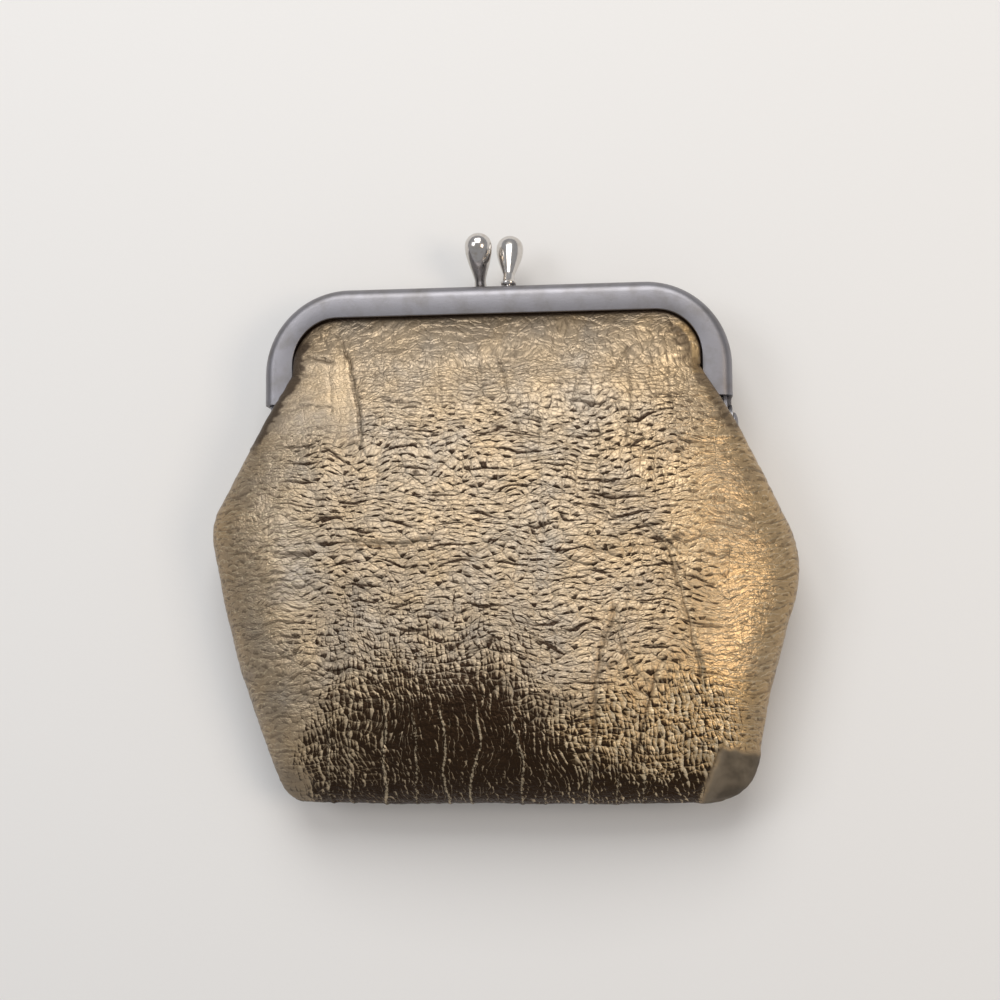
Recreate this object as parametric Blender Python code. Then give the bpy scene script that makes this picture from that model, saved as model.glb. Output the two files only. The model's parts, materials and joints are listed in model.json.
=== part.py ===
"""Kiss-lock coin purse of metallic leather on a nickel-plated channel frame.

The purse lies on its back. X runs along the frame, Y from the bag towards the
clasp, and Z up from the resting face. The origin is on that face, under the
middle of the whole purse. Lengths are in metres. A "drop" is a distance below
the frame's top edge, and a "depth" is a distance from the plane where the two
halves part. Front pieces take facing +1, rear pieces -1.
"""

import math

import bmesh
import bpy

FRONT, REAR = 1, -1
LEFT, RIGHT = -1, 1

# Clearances
CLEARANCE = 0.0003
PARTING_GAP = 0.0004
SEAM_GAP = 0.0005

# Frame halves, folded from sheet steel into channels
FRAME_WIDTH = 0.0820
CORNER_RADIUS = 0.0150
LIP_CORNER_RADIUS = 0.0080
SHEET = 0.0007
HALF_DEPTH = 0.0048
FACE_WIDTH = 0.0052
FLANGE_WIDTH = 0.0035
EDGE_RADIUS = 0.0020

# Hinge at the ends of the legs
HINGE_DROP = 0.0248
EAR_RADIUS = 0.0032
EAR_SHEET = 0.0006
EAR_RELIEF = 0.0012
ARM_OVERLAP = 0.0035
RIVET_RADIUS = 0.0010
RIVET_HEAD_RADIUS = 0.0019
RIVET_HEAD_HEIGHT = 0.0008
RIVET_TAIL_RADIUS = 0.0017
RIVET_TAIL_HEIGHT = 0.0006

# Clasp knobs
KNOB_PAIR_OFFSET = -0.0004
KNOB_GAP = 0.0006
KNOB_LEAN = math.radians(28)
KNOB_HEAD_RADIUS = 0.0024
KNOB_HEAD_CENTRE = 0.0085
KNOB_NECK_RADIUS = 0.0010
KNOB_NECK_AT = 0.0022
SHANK_RADIUS = 0.00065
COLLAR_RADIUS = 0.00135
COLLAR_HEIGHT = 0.0006
TAIL_RADIUS = 0.00095
TAIL_HEIGHT = 0.00045
NECK_FLARE = 0.0001
HEAD_SWELL = 1.35

# Bag
BAG_DROP = 0.0902
PARTING_HEIGHT = 0.0093
LEATHER = 0.0010
LINING = 0.0004
CORD_DIAMETER = 0.0007
THREAD_DIAMETER = 0.0002
GRIP_STOP = 0.0054
SEAM_BELOW_HINGE = 0.0057
FOLD_ROOM = 0.0015
LINING_HINGE_ROOM = 0.0024
LINING_SPREAD = 0.0035

# Outline of the slumped bag: how far each corner stands out past the frame's
# side, how far the shoulders lie below the hinge and the waists above the bottom,
# and how far from its corner each rounding starts
LEFT_SHOULDER_FLARE, LEFT_SHOULDER_FALL, LEFT_SHOULDER_ROUND = 0.0106, 0.0171, 0.0040
LEFT_WAIST_FLARE, LEFT_WAIST_RISE = 0.0056, 0.0252
LEFT_FOOT_FLARE, LEFT_FOOT_ROUND = -0.0035, 0.0045
RIGHT_SHOULDER_FLARE, RIGHT_SHOULDER_FALL, RIGHT_SHOULDER_ROUND = 0.0122, 0.0240, 0.0070
RIGHT_WAIST_FLARE, RIGHT_WAIST_RISE = 0.0049, 0.0177
RIGHT_FOOT_FLARE, RIGHT_FOOT_ROUND = 0.0022, 0.0095
CROSSING_ROUND = 0.0030
WAIST_ROUND = 0.0090

# Puff of the bag: its greatest depth, the run over which it rises from the
# frame, the run over which it falls to the bottom edge, and how full it is
FRONT_BELLY = 0.0127
REST_FLAT = 0.0005
FRONT_RISE, REAR_RISE = 0.0400, 0.0200
RISE_POWER = 3.4
FALL_RUN = 0.0284
FALL_POWER = 2.2
FRONT_POWER, REAR_POWER = 2.3, 3.2

# Mesh fineness
CORNER_STEPS = 12
EDGE_STEPS = 4
CIRCLE_STEPS = 20
KNOB_SIDES = 16
TAPER_STEPS = 6
DOME_STEPS = 5
LEATHER_COLUMNS = 16
LINING_COLUMNS = 8
ROUND_STEPS = 5
LEATHER_FALL_ROWS = 9
LINING_FALL_ROWS = 6
ROLL_CROWDING = 1.3
FIRST_TURN = math.radians(5)
METAL_CREASE = 35
CLOTH_CREASE = 50

# Worked-out places
HALF_WIDTH = FRAME_WIDTH / 2
HALF_PART = PARTING_GAP / 2
HALF_SEAM = SEAM_GAP / 2
LIP = FACE_WIDTH + CLEARANCE
LEATHER_GRIP = HALF_DEPTH - SHEET - CLEARANCE
LINING_LAYER = LEATHER + CLEARANCE
CORD_DEPTH = (HALF_PART + SHEET + LEATHER_GRIP - LINING_LAYER - LINING) / 2
GRIP_INSET = SHEET + 2 * CLEARANCE + TAIL_HEIGHT
CHANNEL_END = HINGE_DROP - EAR_RADIUS - EAR_RELIEF
GRIP_END = CHANNEL_END - GRIP_STOP
STEP_END = GRIP_END + 3 * CLEARANCE
EAR_CLEAR = EAR_RADIUS + 2 * CLEARANCE
EAR_PASSED = HINGE_DROP + EAR_RADIUS + CLEARANCE
SEAM_START = HINGE_DROP + SEAM_BELOW_HINGE
FOLD_START = HINGE_DROP - CLEARANCE / 2
FOLD_END = HINGE_DROP + FRONT_BELLY + FOLD_ROOM
SPREAD_END = SEAM_START + LINING_SPREAD
FALL_DROP = BAG_DROP - FALL_RUN
REAR_EAR_INSET = 0.0001
FRONT_EAR_INSET = REAR_EAR_INSET + EAR_SHEET + CLEARANCE
RIVET_END = FRONT_EAR_INSET + EAR_SHEET + CLEARANCE + RIVET_TAIL_HEIGHT
LINING_REACH = HALF_WIDTH - RIVET_END - CLEARANCE - LINING_HINGE_ROOM
KNOB_SPACING = 2 * KNOB_HEAD_RADIUS + KNOB_GAP
KNOB_ROOT_DEPTH = HALF_PART + SHEET + CLEARANCE + TAIL_RADIUS
KNOB_BEND = CLEARANCE + COLLAR_HEIGHT
KNOB_REACH = (
    KNOB_BEND + (KNOB_HEAD_CENTRE - KNOB_BEND) * math.cos(KNOB_LEAN) + KNOB_HEAD_RADIUS
)
TOP_Y = (BAG_DROP - KNOB_REACH) / 2


def smooth(value, start, end):
    """0 before start, 1 after end and an eased rise between them."""
    t = min(max((value - start) / (end - start), 0.0), 1.0)
    return t * t * (3 - 2 * t)


def spread(start, end, count, power=1.0):
    """count + 1 values from start to end, crowded towards start by a higher power."""
    return [start + (end - start) * (i / count) ** power for i in range(count + 1)]


def rounded(corners, radii, steps=ROUND_STEPS):
    """The polyline through corners with each inner corner rounded by a curve.

    radii holds, for each inner corner, how far the curve starts from it."""
    line = [corners[0]]
    for before, corner, after, reach in zip(corners, corners[1:], corners[2:], radii):
        ends = []
        for other in (before, after):
            side = math.dist(corner, other)
            share = min(reach / side, 0.48)
            ends.append([c + (o - c) * share for c, o in zip(corner, other)])
        for i in range(steps + 1):
            t = i / steps
            weights = ((1 - t) ** 2, 2 * t * (1 - t), t * t)
            near = zip(ends[0], corner, ends[1])
            line.append(tuple(sum(w * p for w, p in zip(weights, axis)) for axis in near))
    return line + [corners[-1]]


def corner_radius(inset):
    """Radius of the frame's corner at an inset from its edge: tighter towards the lip."""
    return CORNER_RADIUS - (CORNER_RADIUS - LIP_CORNER_RADIUS) * inset / FACE_WIDTH


def lip_reach(drop, inset):
    """Half the width of the frame's U at a drop, measured at an inset from its edge."""
    radius = corner_radius(inset)
    rise = max(inset + radius - drop, 0.0)
    return HALF_WIDTH - inset - radius + math.sqrt(max(radius**2 - rise**2, 0.0))


def side_outline(shoulder, waist, foot):
    """One side of the bag seen from the front, as (reach from the centre line, drop).

    shoulder is (flare, fall, rounding), waist (flare, rise) and foot (flare, rounding)."""
    shoulder_flare, shoulder_fall, shoulder_round = shoulder
    waist_flare, waist_rise = waist
    foot_flare, foot_round = foot
    start = lip_reach(GRIP_END, LIP)
    corners = [
        (start, GRIP_END),
        (start, STEP_END),
        (HALF_WIDTH, HINGE_DROP - CLEARANCE),
        (HALF_WIDTH + shoulder_flare, HINGE_DROP + shoulder_fall),
        (HALF_WIDTH + waist_flare, BAG_DROP - waist_rise),
        (HALF_WIDTH + foot_flare, BAG_DROP),
        (0.0, BAG_DROP),
    ]
    radii = (CLEARANCE, CROSSING_ROUND, shoulder_round, WAIST_ROUND, foot_round)
    return rounded(corners, radii)


OUTLINE = {
    LEFT: side_outline(
        (LEFT_SHOULDER_FLARE, LEFT_SHOULDER_FALL, LEFT_SHOULDER_ROUND),
        (LEFT_WAIST_FLARE, LEFT_WAIST_RISE),
        (LEFT_FOOT_FLARE, LEFT_FOOT_ROUND),
    ),
    RIGHT: side_outline(
        (RIGHT_SHOULDER_FLARE, RIGHT_SHOULDER_FALL, RIGHT_SHOULDER_ROUND),
        (RIGHT_WAIST_FLARE, RIGHT_WAIST_RISE),
        (RIGHT_FOOT_FLARE, RIGHT_FOOT_ROUND),
    ),
}
WIDEST = {side: max(x for x, _ in OUTLINE[side]) for side in (LEFT, RIGHT)}
CENTRE_X = (WIDEST[LEFT] - WIDEST[RIGHT]) / 2


def place(x, drop, depth, facing):
    """World point of a place given from the frame's centre line, its top and the parting plane."""
    return (CENTRE_X + x, TOP_Y - drop, PARTING_HEIGHT + facing * depth)


HINGE_POINT = place(0, HINGE_DROP, 0, FRONT)


def reach_at(side, drop):
    """How far the bag's outline reaches to one side at a drop."""
    line = OUTLINE[side]
    for (x0, d0), (x1, d1) in zip(line, line[1:]):
        if d0 <= drop <= d1 and d1 > d0:
            return x0 + (x1 - x0) * (drop - d0) / (d1 - d0)
    return line[0][0] if drop < line[0][1] else line[-2][0]


def material(name, colour, roughness, metallic=0.0):
    """A plain surface with one colour."""
    made = bpy.data.materials.new(name)
    made.use_nodes = True
    surface = made.node_tree.nodes["Principled BSDF"]
    surface.inputs["Base Color"].default_value = (*colour, 1.0)
    surface.inputs["Roughness"].default_value = roughness
    surface.inputs["Metallic"].default_value = metallic
    made.diffuse_color = (*colour, 1.0)
    return made


def clear_scene():
    """Remove every object of the scene."""
    for found in list(bpy.data.objects):
        bpy.data.objects.remove(found, do_unlink=True)


def put(name, data, surface=None, moving=None):
    """Link an object holding data, drawn in world places.

    A moving piece hangs on the empty given, which sits at the hinge."""
    placed = bpy.data.objects.new(name, data)
    bpy.context.scene.collection.objects.link(placed)
    if surface:
        data.materials.append(surface)
    if moving:
        placed.parent = moving
    return placed


def mesh_from(name, points, faces, crease=METAL_CREASE, moving=None):
    """A closed mesh of the points and faces, its normals turned outwards."""
    shift = HINGE_POINT if moving else (0, 0, 0)
    shape = bmesh.new()
    verts = [shape.verts.new([p - s for p, s in zip(point, shift)]) for point in points]
    for face in faces:
        shape.faces.new([verts[i] for i in face])
    bmesh.ops.recalc_face_normals(shape, faces=shape.faces[:])
    data = bpy.data.meshes.new(name)
    shape.to_mesh(data)
    shape.free()
    data.shade_smooth()
    data.set_sharp_from_angle(angle=math.radians(crease))
    return data


def grid_faces(rows, columns, start=0, wrap=False):
    """Quads of a grid of points stored row by row; wrap joins the last column to the first."""
    faces = []
    for r in range(rows - 1):
        for c in range(columns if wrap else columns - 1):
            a = start + r * columns + c
            b = start + r * columns + (c + 1) % columns
            faces.append((a, b, b + columns, a + columns))
    return faces


def tube_mesh(name, rings, moving=None):
    """A closed mesh through rings of points, capped at both ends."""
    count = len(rings[0])
    points = [point for ring in rings for point in ring]
    faces = grid_faces(len(rings), count, wrap=True)
    last = (len(rings) - 1) * count
    faces += [tuple(range(count)), tuple(range(last, last + count))]
    return mesh_from(name, points, faces, moving=moving)


def shell_mesh(name, outer, inner, moving=None):
    """A sheet with thickness, from matching grids of its outer and inner points."""
    rows, columns = len(outer), len(outer[0])
    count = rows * columns
    points = [p for grid in (outer, inner) for row in grid for p in row]
    faces = grid_faces(rows, columns) + grid_faces(rows, columns, start=count)
    rim = list(range(columns))
    rim += [r * columns + columns - 1 for r in range(1, rows)]
    rim += [count - 2 - c for c in range(columns - 1)]
    rim += [r * columns for r in range(rows - 2, 0, -1)]
    for a, b in zip(rim, rim[1:] + rim[:1]):
        faces.append((a, b, b + count, a + count))
    return mesh_from(name, points, faces, CLOTH_CREASE, moving)


def prism(name, outline, low_x, high_x):
    """A solid between two X planes, from an outline of (y, z) points."""
    rings = [[(x, y, z) for y, z in outline] for x in (low_x, high_x)]
    return tube_mesh(name, rings)


def cutter(name, data):
    """A hidden solid that shapes another one."""
    tool = put(name, data)
    tool.hide_render = True
    tool.display_type = "WIRE"
    return tool


def shape_with(body, tool, operation):
    """Join or cut the body with a hidden solid."""
    step = body.modifiers.new(tool.name, "BOOLEAN")
    step.operation = operation
    step.object = tool


def frame_rail(inset, end_drop):
    """The frame's U at an inset from its outer edge, leg end to leg end, as (x, drop)."""
    radius = corner_radius(inset)
    arc_x = HALF_WIDTH - inset - radius
    quarter = [math.pi / 2 * i / CORNER_STEPS for i in range(CORNER_STEPS + 1)]
    half = [(HALF_WIDTH - inset, end_drop)]
    half += [
        (arc_x + radius * math.cos(a), inset + radius * (1 - math.sin(a))) for a in quarter
    ]
    return [(-x, drop) for x, drop in half] + half[::-1]


def channel_section():
    """The channel's section as (inset, depth), from the flange's edge round to the lip's."""
    inner_radius = EDGE_RADIUS - SHEET
    turns = [math.pi / 2 * i / EDGE_STEPS for i in range(EDGE_STEPS + 1)]
    outside = [(FLANGE_WIDTH, HALF_PART), (0.0, HALF_PART)]
    outside += [
        (
            EDGE_RADIUS * (1 - math.cos(a)),
            HALF_DEPTH - EDGE_RADIUS * (1 - math.sin(a)),
        )
        for a in turns
    ]
    outside.append((FACE_WIDTH, HALF_DEPTH))
    inside = [(FACE_WIDTH, HALF_DEPTH - SHEET)]
    inside += [
        (
            SHEET + inner_radius * (1 - math.cos(a)),
            HALF_DEPTH - SHEET - inner_radius * (1 - math.sin(a)),
        )
        for a in reversed(turns)
    ]
    inside += [(SHEET, HALF_PART + SHEET), (FLANGE_WIDTH, HALF_PART + SHEET)]
    return outside + inside


def ear_outline(facing, arm_end, low, high):
    """A hinge ear and the arm that carries it, as (y, z) points.

    The arm runs up to arm_end above the hinge, between the depths low and high."""
    _, y, z = HINGE_POINT
    first = math.asin(high / EAR_RADIUS)
    last = 2 * math.pi + math.asin(low / EAR_RADIUS)
    turn = [first + (last - first) * i / CIRCLE_STEPS for i in range(CIRCLE_STEPS + 1)]
    outline = [
        (y + EAR_RADIUS * math.cos(a), z + facing * EAR_RADIUS * math.sin(a)) for a in turn
    ]
    return outline + [(y + arm_end, z + facing * low), (y + arm_end, z + facing * high)]


def across(side, inset):
    """World X of a plane at an inset from the frame's outer edge on one side."""
    return CENTRE_X + side * (HALF_WIDTH - inset)


def circle(centre_y, centre_z, radius, steps=CIRCLE_STEPS):
    """A ring of (y, z) points."""
    turn = [2 * math.pi * i / steps for i in range(steps)]
    return [(centre_y + radius * math.cos(a), centre_z + radius * math.sin(a)) for a in turn]


def frame_ears(frame, facing):
    """Join the hinge ears and arms to a frame half and drill them."""
    _, y, z = HINGE_POINT
    inset = FRONT_EAR_INSET if facing == FRONT else REAR_EAR_INSET
    low, high = HALF_PART + SHEET / 2, EAR_RADIUS - CLEARANCE / 3
    arm_end = EAR_RADIUS + EAR_RELIEF + ARM_OVERLAP
    for side in (LEFT, RIGHT):
        tag = f"{frame.name}_{'left' if side == LEFT else 'right'}"
        outline = ear_outline(facing, arm_end, low, high)
        ends = across(side, inset), across(side, inset + EAR_SHEET)
        shape_with(frame, cutter(f"{tag}_ear", prism("ear", outline, *ends)), "UNION")
        if facing == FRONT:
            near = y + EAR_RADIUS + EAR_RELIEF + CLEARANCE
            far = y + arm_end - CLEARANCE
            depths = (z + facing * 2 * low, z + facing * (high - low))
            block = [(near, depths[0]), (far, depths[0]), (far, depths[1]), (near, depths[1])]
            ends = across(side, SHEET / 2), across(side, inset + EAR_SHEET / 2)
            shape_with(frame, cutter(f"{tag}_joggle", prism("joggle", block, *ends)), "UNION")
        ring = circle(y, z, RIVET_RADIUS + CLEARANCE)
        ends = across(side, -EAR_SHEET), across(side, inset + 2 * EAR_SHEET)
        shape_with(frame, cutter(f"{tag}_hole", prism("hole", ring, *ends)), "DIFFERENCE")


def knob_x(facing):
    """X of a knob's shank: the rear half's knob is on the left."""
    return CENTRE_X + KNOB_PAIR_OFFSET + facing * KNOB_SPACING / 2


def ring_round(centre, along, radius, sides=KNOB_SIDES):
    """A ring of points round a centre, square to a direction in the YZ plane."""
    _, ay, az = along
    turn = [2 * math.pi * i / sides for i in range(sides)]
    return [
        (
            centre[0] + radius * math.cos(a),
            centre[1] - radius * math.sin(a) * az,
            centre[2] + radius * math.sin(a) * ay,
        )
        for a in turn
    ]


def make_frame(name, facing, surface, moving=None):
    """One half of the frame: the swept channel with its ears, drilled for rivets and knob."""
    rails = [
        [place(x, drop, depth, facing) for x, drop in frame_rail(inset, CHANNEL_END)]
        for inset, depth in channel_section()
    ]
    rings = [list(ring) for ring in zip(*rails)]
    frame = put(name, tube_mesh(name, rings, moving=moving), surface, moving)
    frame_ears(frame, facing)
    root = place(0, 0, KNOB_ROOT_DEPTH, facing)
    hole = [
        ring_round((knob_x(facing), root[1] + rise, root[2]), (0, 1, 0), SHANK_RADIUS + CLEARANCE)
        for rise in (SHEET, -SHEET - CLEARANCE)
    ]
    shape_with(frame, cutter(f"{name}_knob_hole", tube_mesh("hole", hole)), "DIFFERENCE")
    return frame


def dome(start, radius, height):
    """Rings of a dome past its widest ring, as (distance, radius), open by a pinhole."""
    turn = [math.pi / 2 * (i / (DOME_STEPS + 0.4)) for i in range(1, DOME_STEPS + 1)]
    return [(start + height * math.sin(a), radius * math.cos(a)) for a in turn]


def knob_profile():
    """The knob's rings as (distance along its bent shank, radius), tail to tip."""
    under = -SHEET - CLEARANCE
    profile = [
        (under - TAIL_HEIGHT, TAIL_RADIUS - TAIL_HEIGHT / 3),
        (under - TAIL_HEIGHT / 2, TAIL_RADIUS),
        (under, TAIL_RADIUS),
        (under, SHANK_RADIUS),
        (CLEARANCE, SHANK_RADIUS),
        (CLEARANCE, COLLAR_RADIUS),
        (CLEARANCE + COLLAR_HEIGHT / 2, COLLAR_RADIUS),
        (KNOB_BEND, KNOB_NECK_RADIUS + NECK_FLARE),
        (KNOB_NECK_AT, KNOB_NECK_RADIUS),
    ]
    for i in range(1, TAPER_STEPS + 1):
        t = i / TAPER_STEPS
        swell = math.sin(math.pi / 2 * t) ** HEAD_SWELL
        radius = KNOB_NECK_RADIUS + (KNOB_HEAD_RADIUS - KNOB_NECK_RADIUS) * swell
        profile.append((KNOB_NECK_AT + (KNOB_HEAD_CENTRE - KNOB_NECK_AT) * t, radius))
    return profile + dome(KNOB_HEAD_CENTRE, KNOB_HEAD_RADIUS, KNOB_HEAD_RADIUS)


def make_knob(name, facing, surface, moving=None):
    """A clasp knob: tail, shank, collar, then a teardrop head that leans past its partner."""
    _, y, z = place(0, 0, KNOB_ROOT_DEPTH, facing)
    lean = (0, math.cos(KNOB_LEAN), -facing * math.sin(KNOB_LEAN))
    rings = []
    for distance, radius in knob_profile():
        past = max(distance - KNOB_BEND, 0.0)
        straight = distance - past
        centre = (knob_x(facing), y + straight + past * lean[1], z + past * lean[2])
        rings.append(ring_round(centre, lean if past else (0, 1, 0), radius))
    return put(name, tube_mesh(name, rings, moving=moving), surface, moving)


def make_rivet(name, side, surface):
    """A hinge rivet: domed head outside, shank through both ears, flat tail inside."""
    _, y, z = HINGE_POINT
    under_head = REAR_EAR_INSET - CLEARANCE
    profile = dome(under_head, RIVET_HEAD_RADIUS, -RIVET_HEAD_HEIGHT)[::-1] + [
        (under_head, RIVET_HEAD_RADIUS),
        (under_head, RIVET_RADIUS),
        (RIVET_END - RIVET_TAIL_HEIGHT, RIVET_RADIUS),
        (RIVET_END - RIVET_TAIL_HEIGHT, RIVET_TAIL_RADIUS),
        (RIVET_END, RIVET_TAIL_RADIUS),
    ]
    rings = [
        [(across(side, inset), *point) for point in circle(y, z, radius)]
        for inset, radius in profile
    ]
    return put(name, tube_mesh(name, rings), surface)


def edge_depth(drop):
    """Depth of the leather's free edge, on its inner side, below the grip of the channel."""
    stops = (
        (GRIP_END + CLEARANCE, LEATHER_GRIP - LEATHER),
        (STEP_END, HALF_DEPTH + CLEARANCE),
        (CHANNEL_END + CLEARANCE, HALF_DEPTH + CLEARANCE),
        (HINGE_DROP - 2 * CLEARANCE, EAR_CLEAR),
        (EAR_PASSED, EAR_CLEAR),
        (SEAM_START, HALF_SEAM),
    )
    for (d0, e0), (d1, e1) in zip(stops, stops[1:]):
        if drop <= d1:
            t = min(max((drop - d0) / (d1 - d0), 0.0), 1.0)
            return e0 + (e1 - e0) * t
    return HALF_SEAM


def leather_edge(side, drop, layer):
    """(reach, depth) of the leather's edge on the face that lies layer deep in the bag."""
    sewn = smooth(drop, EAR_PASSED, SEAM_START)
    reach = reach_at(side, drop) - sewn * layer
    return reach, edge_depth(drop) + (1 - sewn) * (LEATHER - layer)


def lining_edge(side, drop, layer):
    """(reach, depth) of the lining's edge: clear of the hinge, then beside the leather's."""
    free = reach_at(side, drop) - layer
    spread_out = smooth(drop, HINGE_DROP + EAR_RADIUS, SPREAD_END)
    held = min(free, LINING_REACH - (layer - LINING_LAYER))
    sewn = smooth(drop, HINGE_DROP, SEAM_START)
    grip = LEATHER_GRIP - layer
    return held + (free - held) * spread_out, grip + (HALF_SEAM - grip) * sewn


def centre_depth(drop, layer, facing, least):
    """Depth of the bag's face on its centre line, for the face that lies layer deep."""
    rise_run = FRONT_RISE if facing == FRONT else REAR_RISE
    peak = FRONT_BELLY if facing == FRONT else PARTING_HEIGHT + REST_FLAT
    grip = LEATHER_GRIP - layer
    away = 1 - min(max((drop - LIP) / rise_run, 0.0), 1.0)
    top = grip + (peak - LEATHER_GRIP) * (1 - away**RISE_POWER)
    end = BAG_DROP - layer
    share = min(max((drop - FALL_DROP) / (end - FALL_DROP), 0.0), 1.0)
    fall = (1 - share**FALL_POWER) ** (1 / FALL_POWER)
    return max(HALF_SEAM + (top - HALF_SEAM) * fall, least)


def bag_row(drop, layer, facing, edge, columns, least):
    """One row of points across a panel's face, edge to edge."""
    power = 2 / (FRONT_POWER if facing == FRONT else REAR_POWER)
    gripped = drop <= GRIP_END
    start = 0.0 if gripped else FIRST_TURN
    turn = [start + (math.pi - 2 * start) * i / columns for i in range(columns + 1)]
    row = []
    for side in (LEFT, RIGHT):
        if gripped:
            end = (lip_reach(drop, GRIP_INSET), LEATHER_GRIP - layer)
            wall = min(lip_reach(drop, LIP) - layer, end[0] - 2 * CLEARANCE)
        else:
            end = edge(side, drop, layer)
            wall = end[0]
        top = max(centre_depth(drop, layer, facing, least), end[1])
        half = [(end[0], end[1])]
        for a in turn[: columns // 2 + 1]:
            depth = end[1] + (top - end[1]) * math.sin(a) ** power
            half.append((wall * math.cos(a) ** power if a < math.pi / 2 else 0.0, depth))
        limit = PARTING_HEIGHT - layer if facing == REAR else math.inf
        points = [place(side * x, drop, min(depth, limit), facing) for x, depth in half]
        row += points if side == LEFT else points[-2::-1]
    return row


def top_drops():
    """Rows from the panel's top edge in the channel to the hinge."""
    grip = spread(GRIP_INSET, LIP, 2)
    roll = spread(LIP, GRIP_END, 5, ROLL_CROWDING)[1:]
    step = [GRIP_END + CLEARANCE, STEP_END]
    return grip + roll + step + spread(STEP_END, FOLD_START - CLEARANCE, 3)[1:]


def fold_drops():
    """Rows of the stretch that folds when the purse opens."""
    past_ear = spread(EAR_PASSED, SEAM_START, 3)
    return [FOLD_START + CLEARANCE] + past_ear + [SPREAD_END, FOLD_END - CLEARANCE / 2]


def bottom_drops(layer, rounding_rows):
    """Rows from the fold to the bottom edge, crowded where the bag rounds off."""
    straight = spread(FOLD_END + CLEARANCE / 2, FALL_DROP, 4)
    end = BAG_DROP - layer
    turn = [math.pi / 2 * i / rounding_rows for i in range(1, rounding_rows + 1)]
    return straight + [FALL_DROP + (end - FALL_DROP) * math.sin(a) for a in turn]


def make_panel(name, facing, drops, lined, surface, moving=None):
    """A stretch of a leather or lining panel through the given rows."""
    first = LINING_LAYER if lined else 0.0
    wall = LINING if lined else LEATHER
    edge = lining_edge if lined else leather_edge
    columns = LINING_COLUMNS if lined else LEATHER_COLUMNS
    outer, inner = (
        [bag_row(drop, layer, facing, edge, columns, HALF_SEAM + least) for drop in drops]
        for layer, least in ((first, wall), (first + wall, 0.0))
    )
    return put(name, shell_mesh(name, outer, inner, moving), surface, moving)


def make_cord(name, points, diameter, surface, moving=None):
    """A round cord through the points, closed at its ends."""
    data = bpy.data.curves.new(name, "CURVE")
    data.dimensions = "3D"
    data.bevel_depth = diameter / 2
    data.bevel_resolution = 1
    data.use_fill_caps = True
    line = data.splines.new("POLY")
    line.points.add(len(points) - 1)
    shift = HINGE_POINT if moving else (0, 0, 0)
    for spot, point in zip(line.points, points):
        spot.co = (*(p - s for p, s in zip(point, shift)), 1.0)
    return put(name, data, surface, moving)


def channel_cord(name, facing, surface, moving=None):
    """The cord that wedges leather and lining into a frame half."""
    rail = frame_rail(GRIP_INSET + CORD_DIAMETER, GRIP_END)
    points = [place(x, drop, CORD_DEPTH, facing) for x, drop in rail]
    return make_cord(name, points, CORD_DIAMETER, surface, moving)


def seam_line(layer, start_drop):
    """The seam from one side round the bottom to the other, layer inside the outline."""
    end = BAG_DROP - layer
    halves = []
    for side in (LEFT, RIGHT):
        half = [(reach_at(side, start_drop) - layer, start_drop)]
        for reach, drop in OUTLINE[side]:
            if start_drop + LEATHER < drop < end:
                half.append((reach - layer, drop))
        half.append((reach_at(side, end) - layer, end))
        halves.append([place(side * x, drop, 0.0, FRONT) for x, drop in half])
    return halves[0] + halves[1][::-1]


def build():
    """Make every piece of the purse."""
    clear_scene()
    nickel = material("nickel_plate", (0.46, 0.44, 0.44), 0.34, 1.0)
    polished = material("polished_nickel", (0.62, 0.58, 0.54), 0.12, 1.0)
    leather = material("metallic_leather", (0.44, 0.35, 0.245), 0.42, 0.7)
    cloth = material("lining_cloth", (0.42, 0.30, 0.19), 0.85)
    paper = material("twisted_paper", (0.62, 0.52, 0.38), 0.9)
    thread = material("sewing_thread", (0.30, 0.24, 0.17), 0.7)
    hinge = put("frame_hinge_axis", None)
    hinge.location = HINGE_POINT

    make_frame("rear_frame", REAR, nickel)
    make_frame("front_frame", FRONT, nickel, hinge)
    make_knob("rear_knob", REAR, polished)
    make_knob("front_knob", FRONT, polished, hinge)
    make_rivet("left_hinge_rivet", LEFT, nickel)
    make_rivet("right_hinge_rivet", RIGHT, nickel)

    top, fold = top_drops(), fold_drops()
    leather_bottom = bottom_drops(0.0, LEATHER_FALL_ROWS)
    lining_bottom = bottom_drops(LINING_LAYER, LINING_FALL_ROWS)
    for lined, kind, surface, bottom in (
        (False, "leather", leather, leather_bottom),
        (True, "lining", cloth, lining_bottom),
    ):
        whole = top + fold[1:-1] + bottom
        make_panel(f"rear_{kind}", REAR, whole, lined, surface)
        make_panel(f"front_{kind}_upper", FRONT, top, lined, surface, hinge)
        make_panel(f"front_{kind}_fold", FRONT, fold, lined, surface)
        make_panel(f"front_{kind}_lower", FRONT, bottom, lined, surface)

    channel_cord("rear_retaining_cord", REAR, paper)
    channel_cord("front_retaining_cord", FRONT, paper, hinge)
    seam = seam_line(LEATHER / 2, SEAM_START + CLEARANCE)
    make_cord("seam_thread", seam, THREAD_DIAMETER, thread)
    inner_seam = seam_line(LINING_LAYER + LINING / 2, SPREAD_END)
    make_cord("lining_seam_thread", inner_seam, THREAD_DIAMETER, thread)


build()
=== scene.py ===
"""Looks of a kiss-lock coin purse: crinkled foil leather on a nickel-plated frame.

The purse lies on its back in the CAD frame: X along the metal frame, Y from the
bag towards the clasp, Z up from the resting face. A "drop" is a distance below the
frame's top edge and a "depth" a distance from the plane where the two halves of
the frame part. Lengths are in metres; names that end in _mm are in millimetres.
"""

import json
import logging
import math
from collections.abc import Callable, Sequence
from dataclasses import dataclass, field
from enum import Enum
from typing import Any

import bmesh
import bpy
import numpy as np
from mathutils import Matrix, Vector


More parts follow.
